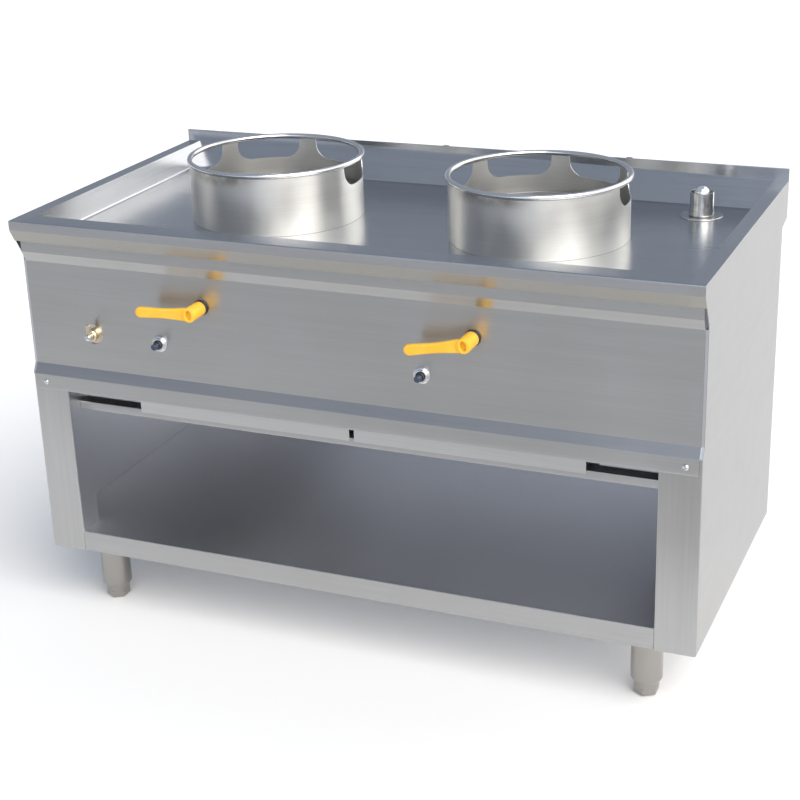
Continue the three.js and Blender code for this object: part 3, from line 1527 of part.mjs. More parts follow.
for (const [i, side] of SIDES.entries()) {
  const screwX = (i ? 1 : -1) * (HALF - SCREW_INSET);
  addPart(`fascia_screw_${side}`, fasciaScrew(), "chrome", addGroup(screwX, FASCIA_FACE, SCREW_Z));

  const hob = addGroup(RING_X[i], RING_Y, FLOOR);
  addPart(`wok_ring_shell_${side}`, ringShell(), "ring", hob);
  addPart(`wok_ring_rim_${side}`, ringRim(), "ring", hob);
  addPart(`burner_well_${side}`, burnerWell(), "ring", hob);
  addPart(`burner_support_${side}`, supportBar(), "panel", hob);
  addPart(`burner_${side}`, burner(), "iron", hob);
  const electrode = addGroup(-ELECTRODE_OFFSET, 0, 0, hob);
  addPart(`spark_electrode_${side}`, sparkElectrode(), "ceramic", electrode);

  const valve = addGroup(LEVER_X[i], PANEL_FACE, VALVE_Z);
  addPart(`gas_valve_${side}`, gasValve().translate(0, SHEET, 0), "brass", valve);
  addPart(`lever_collar_${side}`, leverCollar(), "black", valve);
  const handle = addGroup(0, 0, 0, valve);
  handle.rotation.y = THREE.MathUtils.degToRad(-LEVER_TILT[i]);
  addPart(`gas_lever_${side}`, gasLever(), "yellow", handle);
  addPart(`valve_spindle_${side}`, valveSpindle(), "chrome", handle);
  const outlet = addGroup(LEVER_X[i], 0, VALVE_Z);
  addPart(`injector_pipe_${side}`, injectorPipe(RING_X[i] - LEVER_X[i]), "copper", outlet);

  const igniter = addGroup(IGNITER_X[i], PANEL_FACE, IGNITER_Z);
  addPart(`igniter_body_${side}`, igniterBody(), "black", igniter);
  addPart(`igniter_nut_${side}`, igniterNut(), "chrome", igniter);
  addPart(`igniter_button_${side}`, igniterButton(), "button", igniter);
}
addPart("gas_manifold", gasManifold(), "copper");

const tap = addGroup(TAP_X, PANEL_FACE, TAP_Z);
addPart("water_tap_body", tapBody(), "brass", tap);
addPart("water_tap_spindle", tapSpindle(), "brass", tap);
addPart("water_tap_screw", tapScrew(), "chrome", tap);
addPart("water_pipe", waterPipe(), "copper");
addPart("water_spout", waterSpout(), "copper");

const drain = addGroup(DRAIN_X, DRAIN_Y, FLOOR);
addPart("drain_flange", drainFlange(), "chrome", drain);
addPart("standpipe", standpipe(), "chrome", drain);
addPart("standpipe_knob", standpipeKnob(), "chrome", drain);
addPart("drain_pipe", drainPipe(), "panel", drain);

// The levers reach furthest forward and the worktop furthest back.
const front = PANEL_FACE - LEVER_PROJECTION;
range.position.y = -(front + WORKTOP_DEPTH) / 2;

const root = new THREE.Group();
root.add(range);

export default root;
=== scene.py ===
"""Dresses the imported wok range: camera, floor, light, finishes, and some finer pieces.

Lengths are in metres in the row's frame: +X to the right, +Y to the rear wall, +Z up, floor at 0.
"""

import json
import math

import bmesh
import bpy
from mathutils import Matrix, Vector


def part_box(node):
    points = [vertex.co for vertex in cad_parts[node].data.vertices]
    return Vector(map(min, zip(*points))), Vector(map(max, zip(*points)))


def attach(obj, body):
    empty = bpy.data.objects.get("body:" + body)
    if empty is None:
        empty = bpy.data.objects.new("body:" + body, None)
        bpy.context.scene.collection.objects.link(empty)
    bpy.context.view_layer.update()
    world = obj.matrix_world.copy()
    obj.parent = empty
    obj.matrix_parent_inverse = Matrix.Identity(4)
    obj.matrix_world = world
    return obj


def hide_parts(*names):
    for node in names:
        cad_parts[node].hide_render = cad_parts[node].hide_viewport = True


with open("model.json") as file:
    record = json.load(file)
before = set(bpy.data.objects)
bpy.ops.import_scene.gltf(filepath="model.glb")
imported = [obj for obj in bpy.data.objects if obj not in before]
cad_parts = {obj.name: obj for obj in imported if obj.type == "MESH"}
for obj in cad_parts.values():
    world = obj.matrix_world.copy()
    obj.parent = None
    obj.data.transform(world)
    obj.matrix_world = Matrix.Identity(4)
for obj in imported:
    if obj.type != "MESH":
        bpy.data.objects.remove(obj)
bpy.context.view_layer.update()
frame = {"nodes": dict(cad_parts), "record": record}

NODES = frame["nodes"]
RECORD = frame["record"]
SIDES = ("left", "right")
CORNERS = ("front_left", "front_right", "rear_left", "rear_right")
MM = 0.001


# ---------------------------------------------------------------- sizes that the finer pieces need

SHEET = 1.5 * MM
GAP = 0.3 * MM  # between pieces that touch
RUNNING = 0.6 * MM  # round a piece that turns
SMALL_ROUND = 0.4 * MM  # radius of an edge
TURNED_ROUND = 0.5 * MM
ROUND_STEPS = 3  # points along a rounded corner
ON_AXIS = 1e-9
SAME_PLACE = 1e-7  # corners closer than this are one
SHARP = 38  # degrees between faces, past which an edge shades sharp

# Wok rings
CUT_COUNT = 4
CUT_PITCH = 56.6  # degrees from one cut-out's middle to the next
TAB_ANGLE = 12.0  # degrees of rim that each tab between two cut-outs holds
CUT_CENTRE = 94.0  # degrees, the middle of the four
CUT_FLOOR = 77 * MM  # height above the basin floor
CUT_CORNER = 33 * MM
CUT_END = 0.4 * MM  # the last of a cut-out's edge, where it stands upright
PLAIN_BELOW_CUTS = 6 * MM
RING_COLUMNS = 720
RING_ROWS = 14  # below the cut-outs
RING_UPPER_ROWS = 8
RING_WAVES = (0.25 * MM, 0.15 * MM)  # how far the sheet is out of round
RING_BAR = 5.5 * MM
RING_BAR_STEPS = 160
WELL_FLANGE = 9 * MM
COLLAR_HEIGHT = 45 * MM
WELL_OPENING = 112 * MM

# Levers
LEVER_TILT = (3, 10.5)  # degrees below level
LEVER_HUB = 14.5 * MM
LEVER_TIP = 10.5 * MM
LEVER_LENGTH = 120 * MM
LEVER_THICKNESS = 12 * MM
RECESS = (6.2 * MM, 9.6 * MM)  # half its width and height
RECESS_DEPTH = 9 * MM
RECESS_RIM = 1.0 * MM
HUB_EDGE = 1.6 * MM
HUB_SIDES = 64
ARM_STEPS = 44
ARM_SIDES = 32
ARM_TAPER = 0.8  # share of the steps before its round end
COLLAR_BORE = 5.6 * MM

# Igniters: radii, and distances in front of the fascia or behind it
BARREL = 9 * MM
BARREL_WIDE = 13 * MM
BARREL_NOSE = 14 * MM
BARREL_SHOULDER = 1.8 * MM
BARREL_REAR = 43.5 * MM
SOCKET = 7.1 * MM
SOCKET_END = 21.5 * MM
THREAD_PITCH = 1.25 * MM
THREAD_DEPTH = 0.6 * MM
NUT_BORE = 9.3 * MM
NUT_RIM = 16.5 * MM
NUT_NECK = 13.0 * MM
NUT_DEPTH = 9.5 * MM
BUTTON = 6.5 * MM
BUTTON_OUT = 26 * MM
BUTTON_REAR = 13.0 * MM

# Standpipe and drain, heights above the basin floor
PIPE = 24 * MM
PIPE_FLARE = 1.6 * MM
FLARE_FOOT = 4 * MM
FLARE_SHARE = 0.45  # of the pipe's height
FLARE_STEPS = 12
BALL = 15 * MM
BALL_STEPS = 36
BALL_ARC = 37.2  # steps in half a turn, so that the ball ends at its stem
STEM = 4 * MM
CROSS = (11 * MM, 14 * MM)
CROSS_REACH = 22.0 * MM
CROSS_HALF = 4 * MM
DRAIN_BORE = 24.7 * MM
DRAIN_NECK = 28 * MM
DRAIN_RIM = 43 * MM
DRAIN_LEDGE = 5 * MM
DRAIN_BOTTOM = -40 * MM
DRAIN_SEAT = -14.3 * MM

# Legs
FOOT_HEIGHT = 16.5 * MM
LEG_BORE = 8.3 * MM
LEG_NOSE = 8.5 * MM
LEG_TAPER = 11 * MM
LEG = 31 * MM
LEG_NOSE_RADIUS = 25 * MM
LEG_WALL = 2 * MM
LEG_PLATE = 3 * MM
LEG_PLATE_RADIUS = 45 * MM
LEG_ROUND = 1.2 * MM

# Worktop
BASIN_FILLET = 5 * MM
SIDE_RIM = 29.5 * MM
FRONT_RIM = 47.5 * MM
REAR_RIM = 38.0 * MM
FACE_DEPTH = 1.0 * MM  # within this of a sheet's face counts as the face


# ---------------------------------------------------------------- where things are


def centre(node):
    low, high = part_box(node)
    return (low + high) / 2


def span(node):
    low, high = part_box(node)
    return high - low


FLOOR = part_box("wok_ring_shell_left")[0].z - GAP
PANEL_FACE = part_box("lever_collar_left")[1].y + GAP
BASIN_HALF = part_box("worktop")[1].x - SIDE_RIM
SHELF_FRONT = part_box("bottom_shelf")[0].y + FACE_DEPTH
SIDE_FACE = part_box("side_panel_right")[1].x - FACE_DEPTH
BASIN_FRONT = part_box("worktop")[0].y + FRONT_RIM
BASIN_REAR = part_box("worktop")[1].y - REAR_RIM


# ---------------------------------------------------------------- node materials


class Finish:
    """A material under construction, with short calls for the nodes that the finishes share."""

    def __init__(self, name):
        self.material = bpy.data.materials.new(name)
        self.material.use_nodes = True
        self.tree = self.material.node_tree
        self.shader = self.tree.nodes["Principled BSDF"]
        coordinates = self.add("ShaderNodeTexCoord")
        self.place = coordinates.outputs["Object"]
        self.facing = coordinates.outputs["Normal"]

    def add(self, kind, inputs=None, **settings):
        node = self.tree.nodes.new(kind)
        for key, value in settings.items():
            setattr(node, key, value)
        for key, value in (inputs or {}).items():
            self.feed(node.inputs[key], value)
        return node

    def feed(self, socket, value):
        if isinstance(value, bpy.types.NodeSocket):
            self.tree.links.new(value, socket)
        else:
            socket.default_value = value

    def set(self, **values):
        for key, value in values.items():
            self.feed(self.shader.inputs[key.replace("_", " ")], value)

    def math(self, operation, a, b=0.0):
        return self.add("ShaderNodeMath", {0: a, 1: b}, operation=operation).outputs[0]

    def vector(self, operation, a, b):
        return self.add("ShaderNodeVectorMath", {0: a, 1: b}, operation=operation).outputs[0]

    def split(self, vector):
        return self.add("ShaderNodeSeparateXYZ", {0: vector}).outputs

    def combine(self, x, y, z):
        return self.add("ShaderNodeCombineXYZ", {0: x, 1: y, 2: z}).outputs[0]

    def noise(self, place, scale, detail=2.0, roughness=0.5, distortion=0.0):
        inputs = {
            "Vector": place,
            "Scale": scale,
            "Detail": detail,
            "Roughness": roughness,
            "Distortion": distortion,
        }
        return self.add("ShaderNodeTexNoise", inputs).outputs[0]

    def ranged(self, value, low, high, to_low=0.0, to_high=1.0):
        inputs = {0: value, 1: low, 2: high, 3: to_low, 4: to_high}
        return self.add("ShaderNodeMapRange", inputs, interpolation_type="SMOOTHSTEP").outputs[0]

    def linear(self, value, low, high, to_low=0.0, to_high=1.0):
        inputs = {0: value, 1: low, 2: high, 3: to_low, 4: to_high}
        return self.add("ShaderNodeMapRange", inputs).outputs[0]

    def mix(self, share, a, b):
        node = self.add("ShaderNodeMix", data_type="RGBA", clamp_factor=True)
        self.feed(node.inputs[0], share)
        self.feed(node.inputs[6], a)
        self.feed(node.inputs[7], b)
        return node.outputs[2]

    def blend(self, share, a, b):
        node = self.add("ShaderNodeMix", data_type="VECTOR", clamp_factor=True)
        self.feed(node.inputs[0], share)
        self.feed(node.inputs[4], a)
        self.feed(node.inputs[5], b)
        return node.outputs[1]

    def scaled(self, tone, shade):
        node = self.add("ShaderNodeVectorMath", {0: tone, "Scale": shade}, operation="SCALE")
        return node.outputs[0]

    def bump(self, height, distance):
        inputs = {"Height": height, "Distance": distance, "Strength": 1.0}
        return self.add("ShaderNodeBump", inputs).outputs[0]

    def to_world(self, vector):
        return self.add(
            "ShaderNodeVectorTransform",
            {0: vector},
            vector_type="VECTOR",
            convert_from="OBJECT",
            convert_to="WORLD",
        ).outputs[0]


def rgb(r, g, b):
    return (r, g, b, 1.0)


def grey(value):
    return rgb(value, value, value)


GRAINS = {
    # stroke noise and broad noise per metre, across X, Y and Z, then the grain's direction
    "X": ((5, 420, 420), (1.1, 60, 60), (1, 0, 0)),
    "Y": ((420, 5, 420), (60, 1.1, 60), (0, 1, 0)),
    "Z": ((420, 420, 5), (60, 60, 1.1), (0, 0, 1)),
}


def straight_grain(f, axis):
    strokes, broad, along = GRAINS[axis]
    return f.vector("MULTIPLY", f.place, strokes), f.vector("MULTIPLY", f.place, broad), along


def round_grain(f, middle, radius):
    x, y, z = f.split(f.vector("SUBTRACT", f.place, tuple(middle)))
    turn = f.math("MULTIPLY", f.math("ARCTAN2", y, x), radius)
    out = f.math("SQRT", f.math("ADD", f.math("MULTIPLY", x, x), f.math("MULTIPLY", y, y)))
    across = f.math("ADD", z, out)
    strokes = f.combine(f.math("MULTIPLY", turn, 5), f.math("MULTIPLY", across, 420), 0.0)
    broad = f.combine(f.math("MULTIPLY", turn, 2.5), f.math("MULTIPLY", across, 45), 0.0)
    return strokes, broad, f.combine(f.math("MULTIPLY", y, -1.0), x, 0.0)


def end_grain(f, grain, ends):
    """Swaps the grain for one along Y on faces that look along X, and past ends from the middle."""
    side_strokes, side_broad, side_along = straight_grain(f, "Y")
    x = f.split(f.place)[0]
    facing = f.split(f.facing)[0]
    turned = f.ranged(f.math("ABSOLUTE", facing), 0.7, 0.8)
    beyond = f.math("GREATER_THAN", f.math("ABSOLUTE", x), ends)
    share = f.math("MAXIMUM", turned, beyond)
    strokes = f.blend(share, grain[0], side_strokes)
    broad = f.blend(share, grain[1], side_broad)
    return strokes, broad, f.blend(share, grain[2], side_along)


def brushed(
    name,
    tone,
    grain="X",
    polish=0.27,
    anisotropy=0.55,
    around=None,
    radius=0.18,
    ends=9.0,
    tint=None,
    scuffs=0.0,
    dents=1.2 * MM,
    marks=1.0,
):
    """Brushed stainless sheet. Its marks follow an axis, or circle a point if grain is "ROUND"."""
    f = Finish(name)
    if grain == "ROUND":
        strokes, broad, along = round_grain(f, around, radius)
    else:
        strokes, broad, along = end_grain(f, straight_grain(f, grain), ends)
    hairs = f.noise(strokes, 1.0, detail=2.0, roughness=0.6)
    bands = f.noise(broad, 1.0, detail=2.0)
    clouds = f.noise(f.place, 3.2, detail=3.0, distortion=0.4)
    wiped = f.noise(f.place, 14.0, detail=3.0)

    shade = f.linear(hairs, 0.25, 0.75, 1 - 0.04 * marks, 1 + 0.04 * marks)
    banding = f.linear(bands, 0.2, 0.8, 1 - 0.03 * marks, 1 + 0.03 * marks)
    shade = f.math("MULTIPLY", shade, banding)
    shade = f.math("MULTIPLY", shade, f.linear(clouds, 0.25, 0.75, 0.97, 1.03))
    colour = f.scaled(tone, shade)
    if tint is not None:
        colour = tint(f, colour)

    rough = f.linear(clouds, 0.25, 0.75, polish - 0.025, polish + 0.025)
    rough = f.math("ADD", rough, f.linear(hairs, 0.2, 0.8, -0.012 * marks, 0.012 * marks))
    rough = f.math("ADD", rough, f.linear(wiped, 0.45, 0.8, 0.0, 0.03 + scuffs))
    warp = f.noise(f.place, 2.3, detail=1.0)
    across = f.vector("CROSS_PRODUCT", f.facing, along)
    f.set(
        Base_Color=colour,
        Metallic=1.0,
        Roughness=rough,
        Anisotropic=anisotropy,
        Normal=f.bump(warp, dents),
        Tangent=f.to_world(across),
    )
    return f.material


def plated(name, tone, polish, spots=0.02):
    """Bright plated or polished metal with faint smears."""
    f = Finish(name)
    smears = f.noise(f.place, 60.0, detail=4.0, distortion=0.5)
    ripple = f.noise(f.place, 180.0, detail=2.0)
    shade = f.linear(smears, 0.3, 0.7, 0.94, 1.03)
    f.set(
        Base_Color=f.scaled(tone, shade),
        Metallic=1.0,
        Roughness=f.linear(smears, 0.3, 0.7, polish, polish + 0.06 + spots),
        Normal=f.bump(ripple, 0.012 * MM),
    )
    return f.material


def cast_iron(name):
    f = Finish(name)
    grain = f.noise(f.place, 700.0, detail=5.0, roughness=0.65)
    soot = f.noise(f.place, 25.0, detail=4.0, distortion=0.6)
    colour = f.mix(f.ranged(soot, 0.35, 0.7), rgb(0.035, 0.034, 0.035), rgb(0.1, 0.085, 0.075))
    f.set(
        Base_Color=colour,
        Metallic=0.55,
        Roughness=f.linear(grain, 0.3, 0.7, 0.5, 0.72),
        Normal=f.bump(grain, 0.25 * MM),
    )
    return f.material


def moulded(name, tone, worn, polish):
    """Moulded plastic with a fine grain and slightly worn, lighter patches."""
    f = Finish(name)
    grain = f.noise(f.place, 900.0, detail=3.0)
    patches = f.noise(f.place, 45.0, detail=4.0, distortion=0.3)
    flow = f.noise(f.vector("MULTIPLY", f.place, (25, 90, 90)), 1.0, detail=2.0)
    colour = f.mix(f.ranged(patches, 0.35, 0.75), rgb(*tone), rgb(*worn))
    f.set(
        Base_Color=colour,
        Roughness=f.linear(flow, 0.3, 0.7, polish - 0.05, polish + 0.08),
        Normal=f.bump(grain, 0.03 * MM),
    )
    return f.material


def glazed(name):
    f = Finish(name)
    haze = f.noise(f.place, 220.0, detail=3.0)
    colour = f.mix(f.ranged(haze, 0.3, 0.8), rgb(0.8, 0.78, 0.72), rgb(0.66, 0.62, 0.55))
    f.set(Base_Color=colour, Roughness=f.linear(haze, 0.3, 0.7, 0.15, 0.3))
    return f.material


def pale_floor(name):
    f = Finish(name)
    cloud = f.noise(f.place, 0.6, detail=2.0)
    f.set(Base_Color=f.mix(cloud, grey(0.82), grey(0.79)), Roughness=0.9)
    f.shader.inputs["Specular IOR Level"].default_value = 0.1
    return f.material


def heat_tint(top, side):
    """Brown and straw colours where the rim was welded to the sheet, strongest at one side."""

    def paint(f, colour):
        near_top = f.ranged(f.split(f.place)[2], top - 26 * MM, top - 2 * MM)
        patch = f.noise(f.place, 22.0, detail=3.0)
        away = f.add("ShaderNodeVectorMath", {0: f.place, 1: tuple(side)}, operation="DISTANCE")
        close = f.ranged(away.outputs["Value"], 30 * MM, 105 * MM, 1.0, 0.0)
        share = f.math("MULTIPLY", f.math("MULTIPLY", near_top, close), f.ranged(patch, 0.3, 0.6))
        return f.mix(f.math("MULTIPLY", share, 0.75), colour, rgb(0.2, 0.16, 0.12))

    return paint


def shelf_inside_painted_light(f, colour):
    """The shelf's unbrushed face behind its front rail, given a much brighter colour that is painted
    light for the dim cavity.
    """
    behind = f.math("GREATER_THAN", f.split(f.place)[1], SHELF_FRONT)
    return f.mix(behind, colour, rgb(0.86, 0.87, 0.9))


# The side panels' inner faces behind the shelf's front, where painted light is put.
def inner_side_painted_light(f):
    x, y = f.split(f.place)[:2]
    within = f.math("LESS_THAN", f.math("ABSOLUTE", x), SIDE_FACE)
    return f.math("MULTIPLY", within, f.math("GREATER_THAN", y, SHELF_FRONT))


def side_painted_light_and_shade(f, colour):
    """A side panel: its inner face unbrushed and painted brighter, as painted light for the cavity; its
    outer face painted a little darker than its stile, as painted shade.
    """
    outside = f.math("GREATER_THAN", f.math("ABSOLUTE", f.split(f.facing)[0]), 0.7)
    outer_painted_shade = f.mix(outside, colour, f.scaled(colour, 0.86))
    return f.mix(inner_side_painted_light(f), outer_painted_shade, rgb(0.62, 0.63, 0.66))


def back_face(f, colour):
    """The back panel's outer face is darker than its inner one, whose brighter tone is painted light for
    the cavity.
    """
    behind = f.math("GREATER_THAN", f.split(f.facing)[1], 0.5)
    return f.mix(behind, colour, rgb(0.4, 0.397, 0.393))


def under_lip_painted_shade(f, colour):
    """The worktop's faces that look down get a darker, warmer colour: painted shade."""
    below = f.math("LESS_THAN", f.split(f.facing)[2], -0.3)
    return f.mix(below, colour, rgb(0.355, 0.343, 0.32))


# ---------------------------------------------------------------- mesh building


def smooth(mesh, sharp_degrees):
    for polygon in mesh.polygons:
        polygon.use_smooth = True
    mesh.set_sharp_from_angle(angle=math.radians(sharp_degrees))


def piece(name, shapes, finish, body, stands_for, place=None, sharp_degrees=SHARP):
    """One object from one or more (vertices, faces) shapes; it rides on a body."""
    vertices, faces = [], []
    for shape_vertices, shape_faces in shapes:
        base = len(vertices)
        vertices += [Vector(v) for v in shape_vertices]
        faces += [[base + i for i in face] for face in shape_faces]
    if place is not None:
        vertices = [place @ v for v in vertices]
    mesh = bpy.data.meshes.new(name)
    mesh.from_pydata(vertices, [], faces)
    work = bmesh.new()
    work.from_mesh(mesh)
    bmesh.ops.remove_doubles(work, verts=work.verts, dist=SAME_PLACE)
    bmesh.ops.recalc_face_normals(work, faces=work.faces)
    work.to_mesh(mesh)
    work.free()
    smooth(mesh, sharp_degrees)
    mesh.materials.append(finish)
    made = bpy.data.objects.new(name, mesh)
    bpy.context.scene.collection.objects.link(made)
    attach(made, body)
    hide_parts(*stands_for)


def rounded(outline, radius, closed=True):
    """The outline with each corner turned into a short arc of about that radius."""
    made = []
    count = len(outline)
    for i, corner in enumerate(outline):
        corner = Vector(corner)
        if not closed and i in (0, count - 1):
            made.append(corner)
            continue
        before = Vector(outline[i - 1]) - corner
        after = Vector(outline[(i + 1) % count]) - corner
        reach = min(radius, 0.45 * before.length, 0.45 * after.length)
        if reach < 1e-6 or before.angle(after, math.pi) > math.radians(172):
            made.append(corner)
            continue
        start = corner + before.normalized() * reach
        end = corner + after.normalized() * reach
        for k in range(ROUND_STEPS + 1):
            t = k / ROUND_STEPS
            made.append((1 - t) ** 2 * start + 2 * t * (1 - t) * corner + t**2 * end)
    return made


def revolved(profile, sides, round_by=SMALL_ROUND, axis="Z"):
    """A closed profile of (radius, height) turned about Z, or about Y with the height along Y."""
    if round_by:
        touches = any(p[0] < ON_AXIS for p in profile)
        while touches and not (profile[0][0] < ON_AXIS and profile[-1][0] < ON_AXIS):
            profile = profile[1:] + profile[:1]
        profile = [tuple(p) for p in rounded(profile, round_by, closed=not touches)]
    on_axis = profile[0][0] < ON_AXIS
    vertices, faces, rings = [], [], []
    for radius, height in profile:
        ring = []
        count = 1 if radius < ON_AXIS else sides
        for k in range(count):
            angle = 2 * math.pi * k / sides
            ring.append(len(vertices))
            vertices.append((radius * math.cos(angle), radius * math.sin(angle), height))
        rings.append(ring)
    pairs = list(zip(rings, rings[1:]))
    if not on_axis:
        pairs.append((rings[-1], rings[0]))
    for a, b in pairs:
        for k in range(sides):
            n = (k + 1) % sides
            quad = [a[k % len(a)], a[n % len(a)], b[n % len(b)], b[k % len(b)]]
            face = [v for i, v in enumerate(quad) if v not in quad[:i]]
            if len(face) > 2:
                faces.append(face)
    if axis == "Y":
        vertices = [(x, z, -y) for x, y, z in vertices]
    return vertices, faces


def hoop(path, radius, sides):
    """A round bar along a closed list of points."""
    path = [Vector(p) for p in path]
    count = len(path)
    vertices, faces = [], []
    side = None
    for i, point in enumerate(path):
        forward = (path[(i + 1) % count] - path[i - 1]).normalized()
        if side is None:
            side = forward.orthogonal().normalized()
        side = (side - forward * side.dot(forward)).normalized()
        up = forward.cross(side)
        for k in range(sides):
            angle = 2 * math.pi * k / sides
            vertices.append(point + radius * (math.cos(angle) * side + math.sin(angle) * up))
    for i in range(count):
        a, b = i * sides, ((i + 1) % count) * sides
        for k in range(sides):
            n = (k + 1) % sides
            faces.append([a + k, a + n, b + n, b + k])
    return vertices, faces


def lofted(sections):
    """A closed skin through a row of sections, each a loop of as many points, capped at both ends."""
    size = len(sections[0])
    vertices = [v for section in sections for v in section]
    faces = []
    for i in range(len(sections) - 1):
        a, b = i * size, (i + 1) * size
        for k in range(size):
            n = (k + 1) % size
            faces.append([a + k, a + n, b + n, b + k])
    faces.append(list(range(size))[::-1])
    faces.append([(len(sections) - 1) * size + k for k in range(size)])
    return vertices, faces


def box(low, high):
    (x0, y0, z0), (x1, y1, z1) = low, high
    vertices = [(x, y, z) for x in (x0, x1) for y in (y0, y1) for z in (z0, z1)]
    faces = [(0, 1, 3, 2), (4, 6, 7, 5), (0, 4, 5, 1), (2, 3, 7, 6), (0, 2, 6, 4), (1, 5, 7, 3)]
    return vertices, faces


# ---------------------------------------------------------------- the solids that stay


EDGE_ROUND = 0.35 * MM
SMOOTH_UNDER = 33  # degrees between faces
BEVEL_OVER = 40  # degrees between faces
NEAR_CORNER = 0.6 * MM


def geometry_tree(name):
    tree = bpy.data.node_groups.new(name, "GeometryNodeTree")
    tree.interface.new_socket("Geometry", in_out="INPUT", socket_type="NodeSocketGeometry")
    tree.interface.new_socket("Geometry", in_out="OUTPUT", socket_type="NodeSocketGeometry")
    return tree


def soft_shading():
    """A modifier tree that merges a solid's split corners and smooths its flatter edges."""
    tree = geometry_tree("soft_shading")
    entry = tree.nodes.new("NodeGroupInput")
    merge = tree.nodes.new("GeometryNodeMergeByDistance")
    merge.inputs["Distance"].default_value = 1e-6
    faces = tree.nodes.new("GeometryNodeSetShadeSmooth")
    faces.domain = "FACE"
    faces.inputs["Shade Smooth"].default_value = True
    edge = tree.nodes.new("GeometryNodeInputMeshEdgeAngle")
    sharp = tree.nodes.new("FunctionNodeCompare")
    sharp.data_type = "FLOAT"
    sharp.operation = "GREATER_THAN"
    sharp.inputs["B"].default_value = math.radians(SMOOTH_UNDER)
    edges = tree.nodes.new("GeometryNodeSetShadeSmooth")
    edges.domain = "EDGE"
    edges.inputs["Shade Smooth"].default_value = False
    leave = tree.nodes.new("NodeGroupOutput")
    link = tree.links.new
    link(entry.outputs[0], merge.inputs["Geometry"])
    link(merge.outputs["Geometry"], faces.inputs["Geometry"])
    link(faces.outputs["Geometry"], edges.inputs["Geometry"])
    link(edge.outputs["Unsigned Angle"], sharp.inputs["A"])
    link(sharp.outputs["Result"], edges.inputs["Selection"])
    link(edges.outputs["Geometry"], leave.inputs[0])
    return tree


SOFT_SHADING = soft_shading()


def basin_corners():
    """A modifier tree that marks the edges round the basin's floor for a wider bevel."""
    tree = geometry_tree("basin_corners")
    link = tree.links.new

    def maths(operation, a, b=0.0):
        node = tree.nodes.new("ShaderNodeMath")
        node.operation = operation
        for socket, value in zip(node.inputs, (a, b)):
            if isinstance(value, float):
                socket.default_value = value
            else:
                link(value, socket)
        return node.outputs[0]

    entry = tree.nodes.new("NodeGroupInput")
    place = tree.nodes.new("ShaderNodeSeparateXYZ")
    link(tree.nodes.new("GeometryNodeInputPosition").outputs[0], place.inputs[0])
    x, y, z = place.outputs

    def close_to(value, target):
        off = maths("ABSOLUTE", maths("SUBTRACT", value, target))
        return maths("LESS_THAN", off, NEAR_CORNER)

    at_end = close_to(maths("ABSOLUTE", x), BASIN_HALF)
    side = maths("MAXIMUM", maths("MAXIMUM", close_to(y, BASIN_FRONT), close_to(y, BASIN_REAR)), at_end)
    on_floor = close_to(z, FLOOR)
    store = tree.nodes.new("GeometryNodeStoreNamedAttribute")
    store.data_type = "FLOAT"
    store.domain = "EDGE"
    store.inputs["Name"].default_value = "bevel_weight_edge"
    link(entry.outputs[0], store.inputs["Geometry"])
    link(maths("MULTIPLY", side, on_floor), store.inputs["Value"])
    leave = tree.nodes.new("NodeGroupOutput")
    link(store.outputs[0], leave.inputs[0])
    return tree


def keep(node, finish):
    """A solid that stays: it gets its finish, smooth shading and a fine bevel."""
    solid = NODES[node]
    solid.data.materials.clear()
    solid.data.materials.append(finish)
    solid.modifiers.new("shading", "NODES").node_group = SOFT_SHADING
    if node == "worktop":
        solid.modifiers.new("corners", "NODES").node_group = basin_corners()
        fillet = solid.modifiers.new("fillet", "BEVEL")
        fillet.width = BASIN_FILLET
        fillet.segments = 4
        fillet.limit_method = "WEIGHT"
    bevel = solid.modifiers.new("edges", "BEVEL")
    bevel.width = EDGE_ROUND
    bevel.segments = 2
    bevel.limit_method = "ANGLE"
    bevel.angle_limit = math.radians(BEVEL_OVER)
    bevel.harden_normals = True
    flat = solid.modifiers.new("flat", "WEIGHTED_NORMAL")
    flat.weight = 100
    flat.keep_sharp = True


# ---------------------------------------------------------------- wok rings and burners


def cut_height(turn, radius, top):
    """Height of the ring sheet's top edge at an angle in radians."""
    half = math.radians((CUT_PITCH - TAB_ANGLE) / 2) * radius
    lowest = top
    for i in range(CUT_COUNT):
        middle = math.radians(CUT_CENTRE + (i - (CUT_COUNT - 1) / 2) * CUT_PITCH)
        off = (turn - middle + math.pi) % (2 * math.pi) - math.pi
        along = abs(off) * radius
        if along < half:
            into = max(along - half + CUT_CORNER, 0)
            height = CUT_FLOOR + CUT_CORNER - math.sqrt(max(CUT_CORNER**2 - into**2, 0))
            if half - along < CUT_END:
                height = top
            lowest = min(lowest, height)
    return lowest


def ring_shell(side, finish):
    node = f"wok_ring_shell_{side}"
    low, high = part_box(node)
    middle = centre(node)
    radius = span(node).x / 2
    height = high.z - low.z
    split = CUT_FLOOR - PLAIN_BELOW_CUTS
    layers = RING_ROWS + RING_UPPER_ROWS + 1
    vertices = []
    for wall in (0, 1):
        for c in range(RING_COLUMNS):
            turn = 2 * math.pi * c / RING_COLUMNS
            top = min(cut_height(turn, radius, height), height)
            wave = RING_WAVES[0] * math.sin(3 * turn + 0.7) + RING_WAVES[1] * math.sin(7 * turn)
            for r in range(layers):
                if r <= RING_ROWS:
                    z = split * r / RING_ROWS
                else:
                    z = split + (top - split) * (r - RING_ROWS) / RING_UPPER_ROWS
                fade = 1 - (z / height) ** 2
                out = radius - wall * SHEET + min(wave * fade, 0.0)
                vertices.append((out * math.cos(turn), out * math.sin(turn), z))
    faces = shell_faces(RING_COLUMNS, layers)
    place = Matrix.Translation((middle.x, middle.y, low.z))
    piece(node + "_sheet", [(vertices, faces)], finish, f"wok_ring_{side}", [node], place, 50)


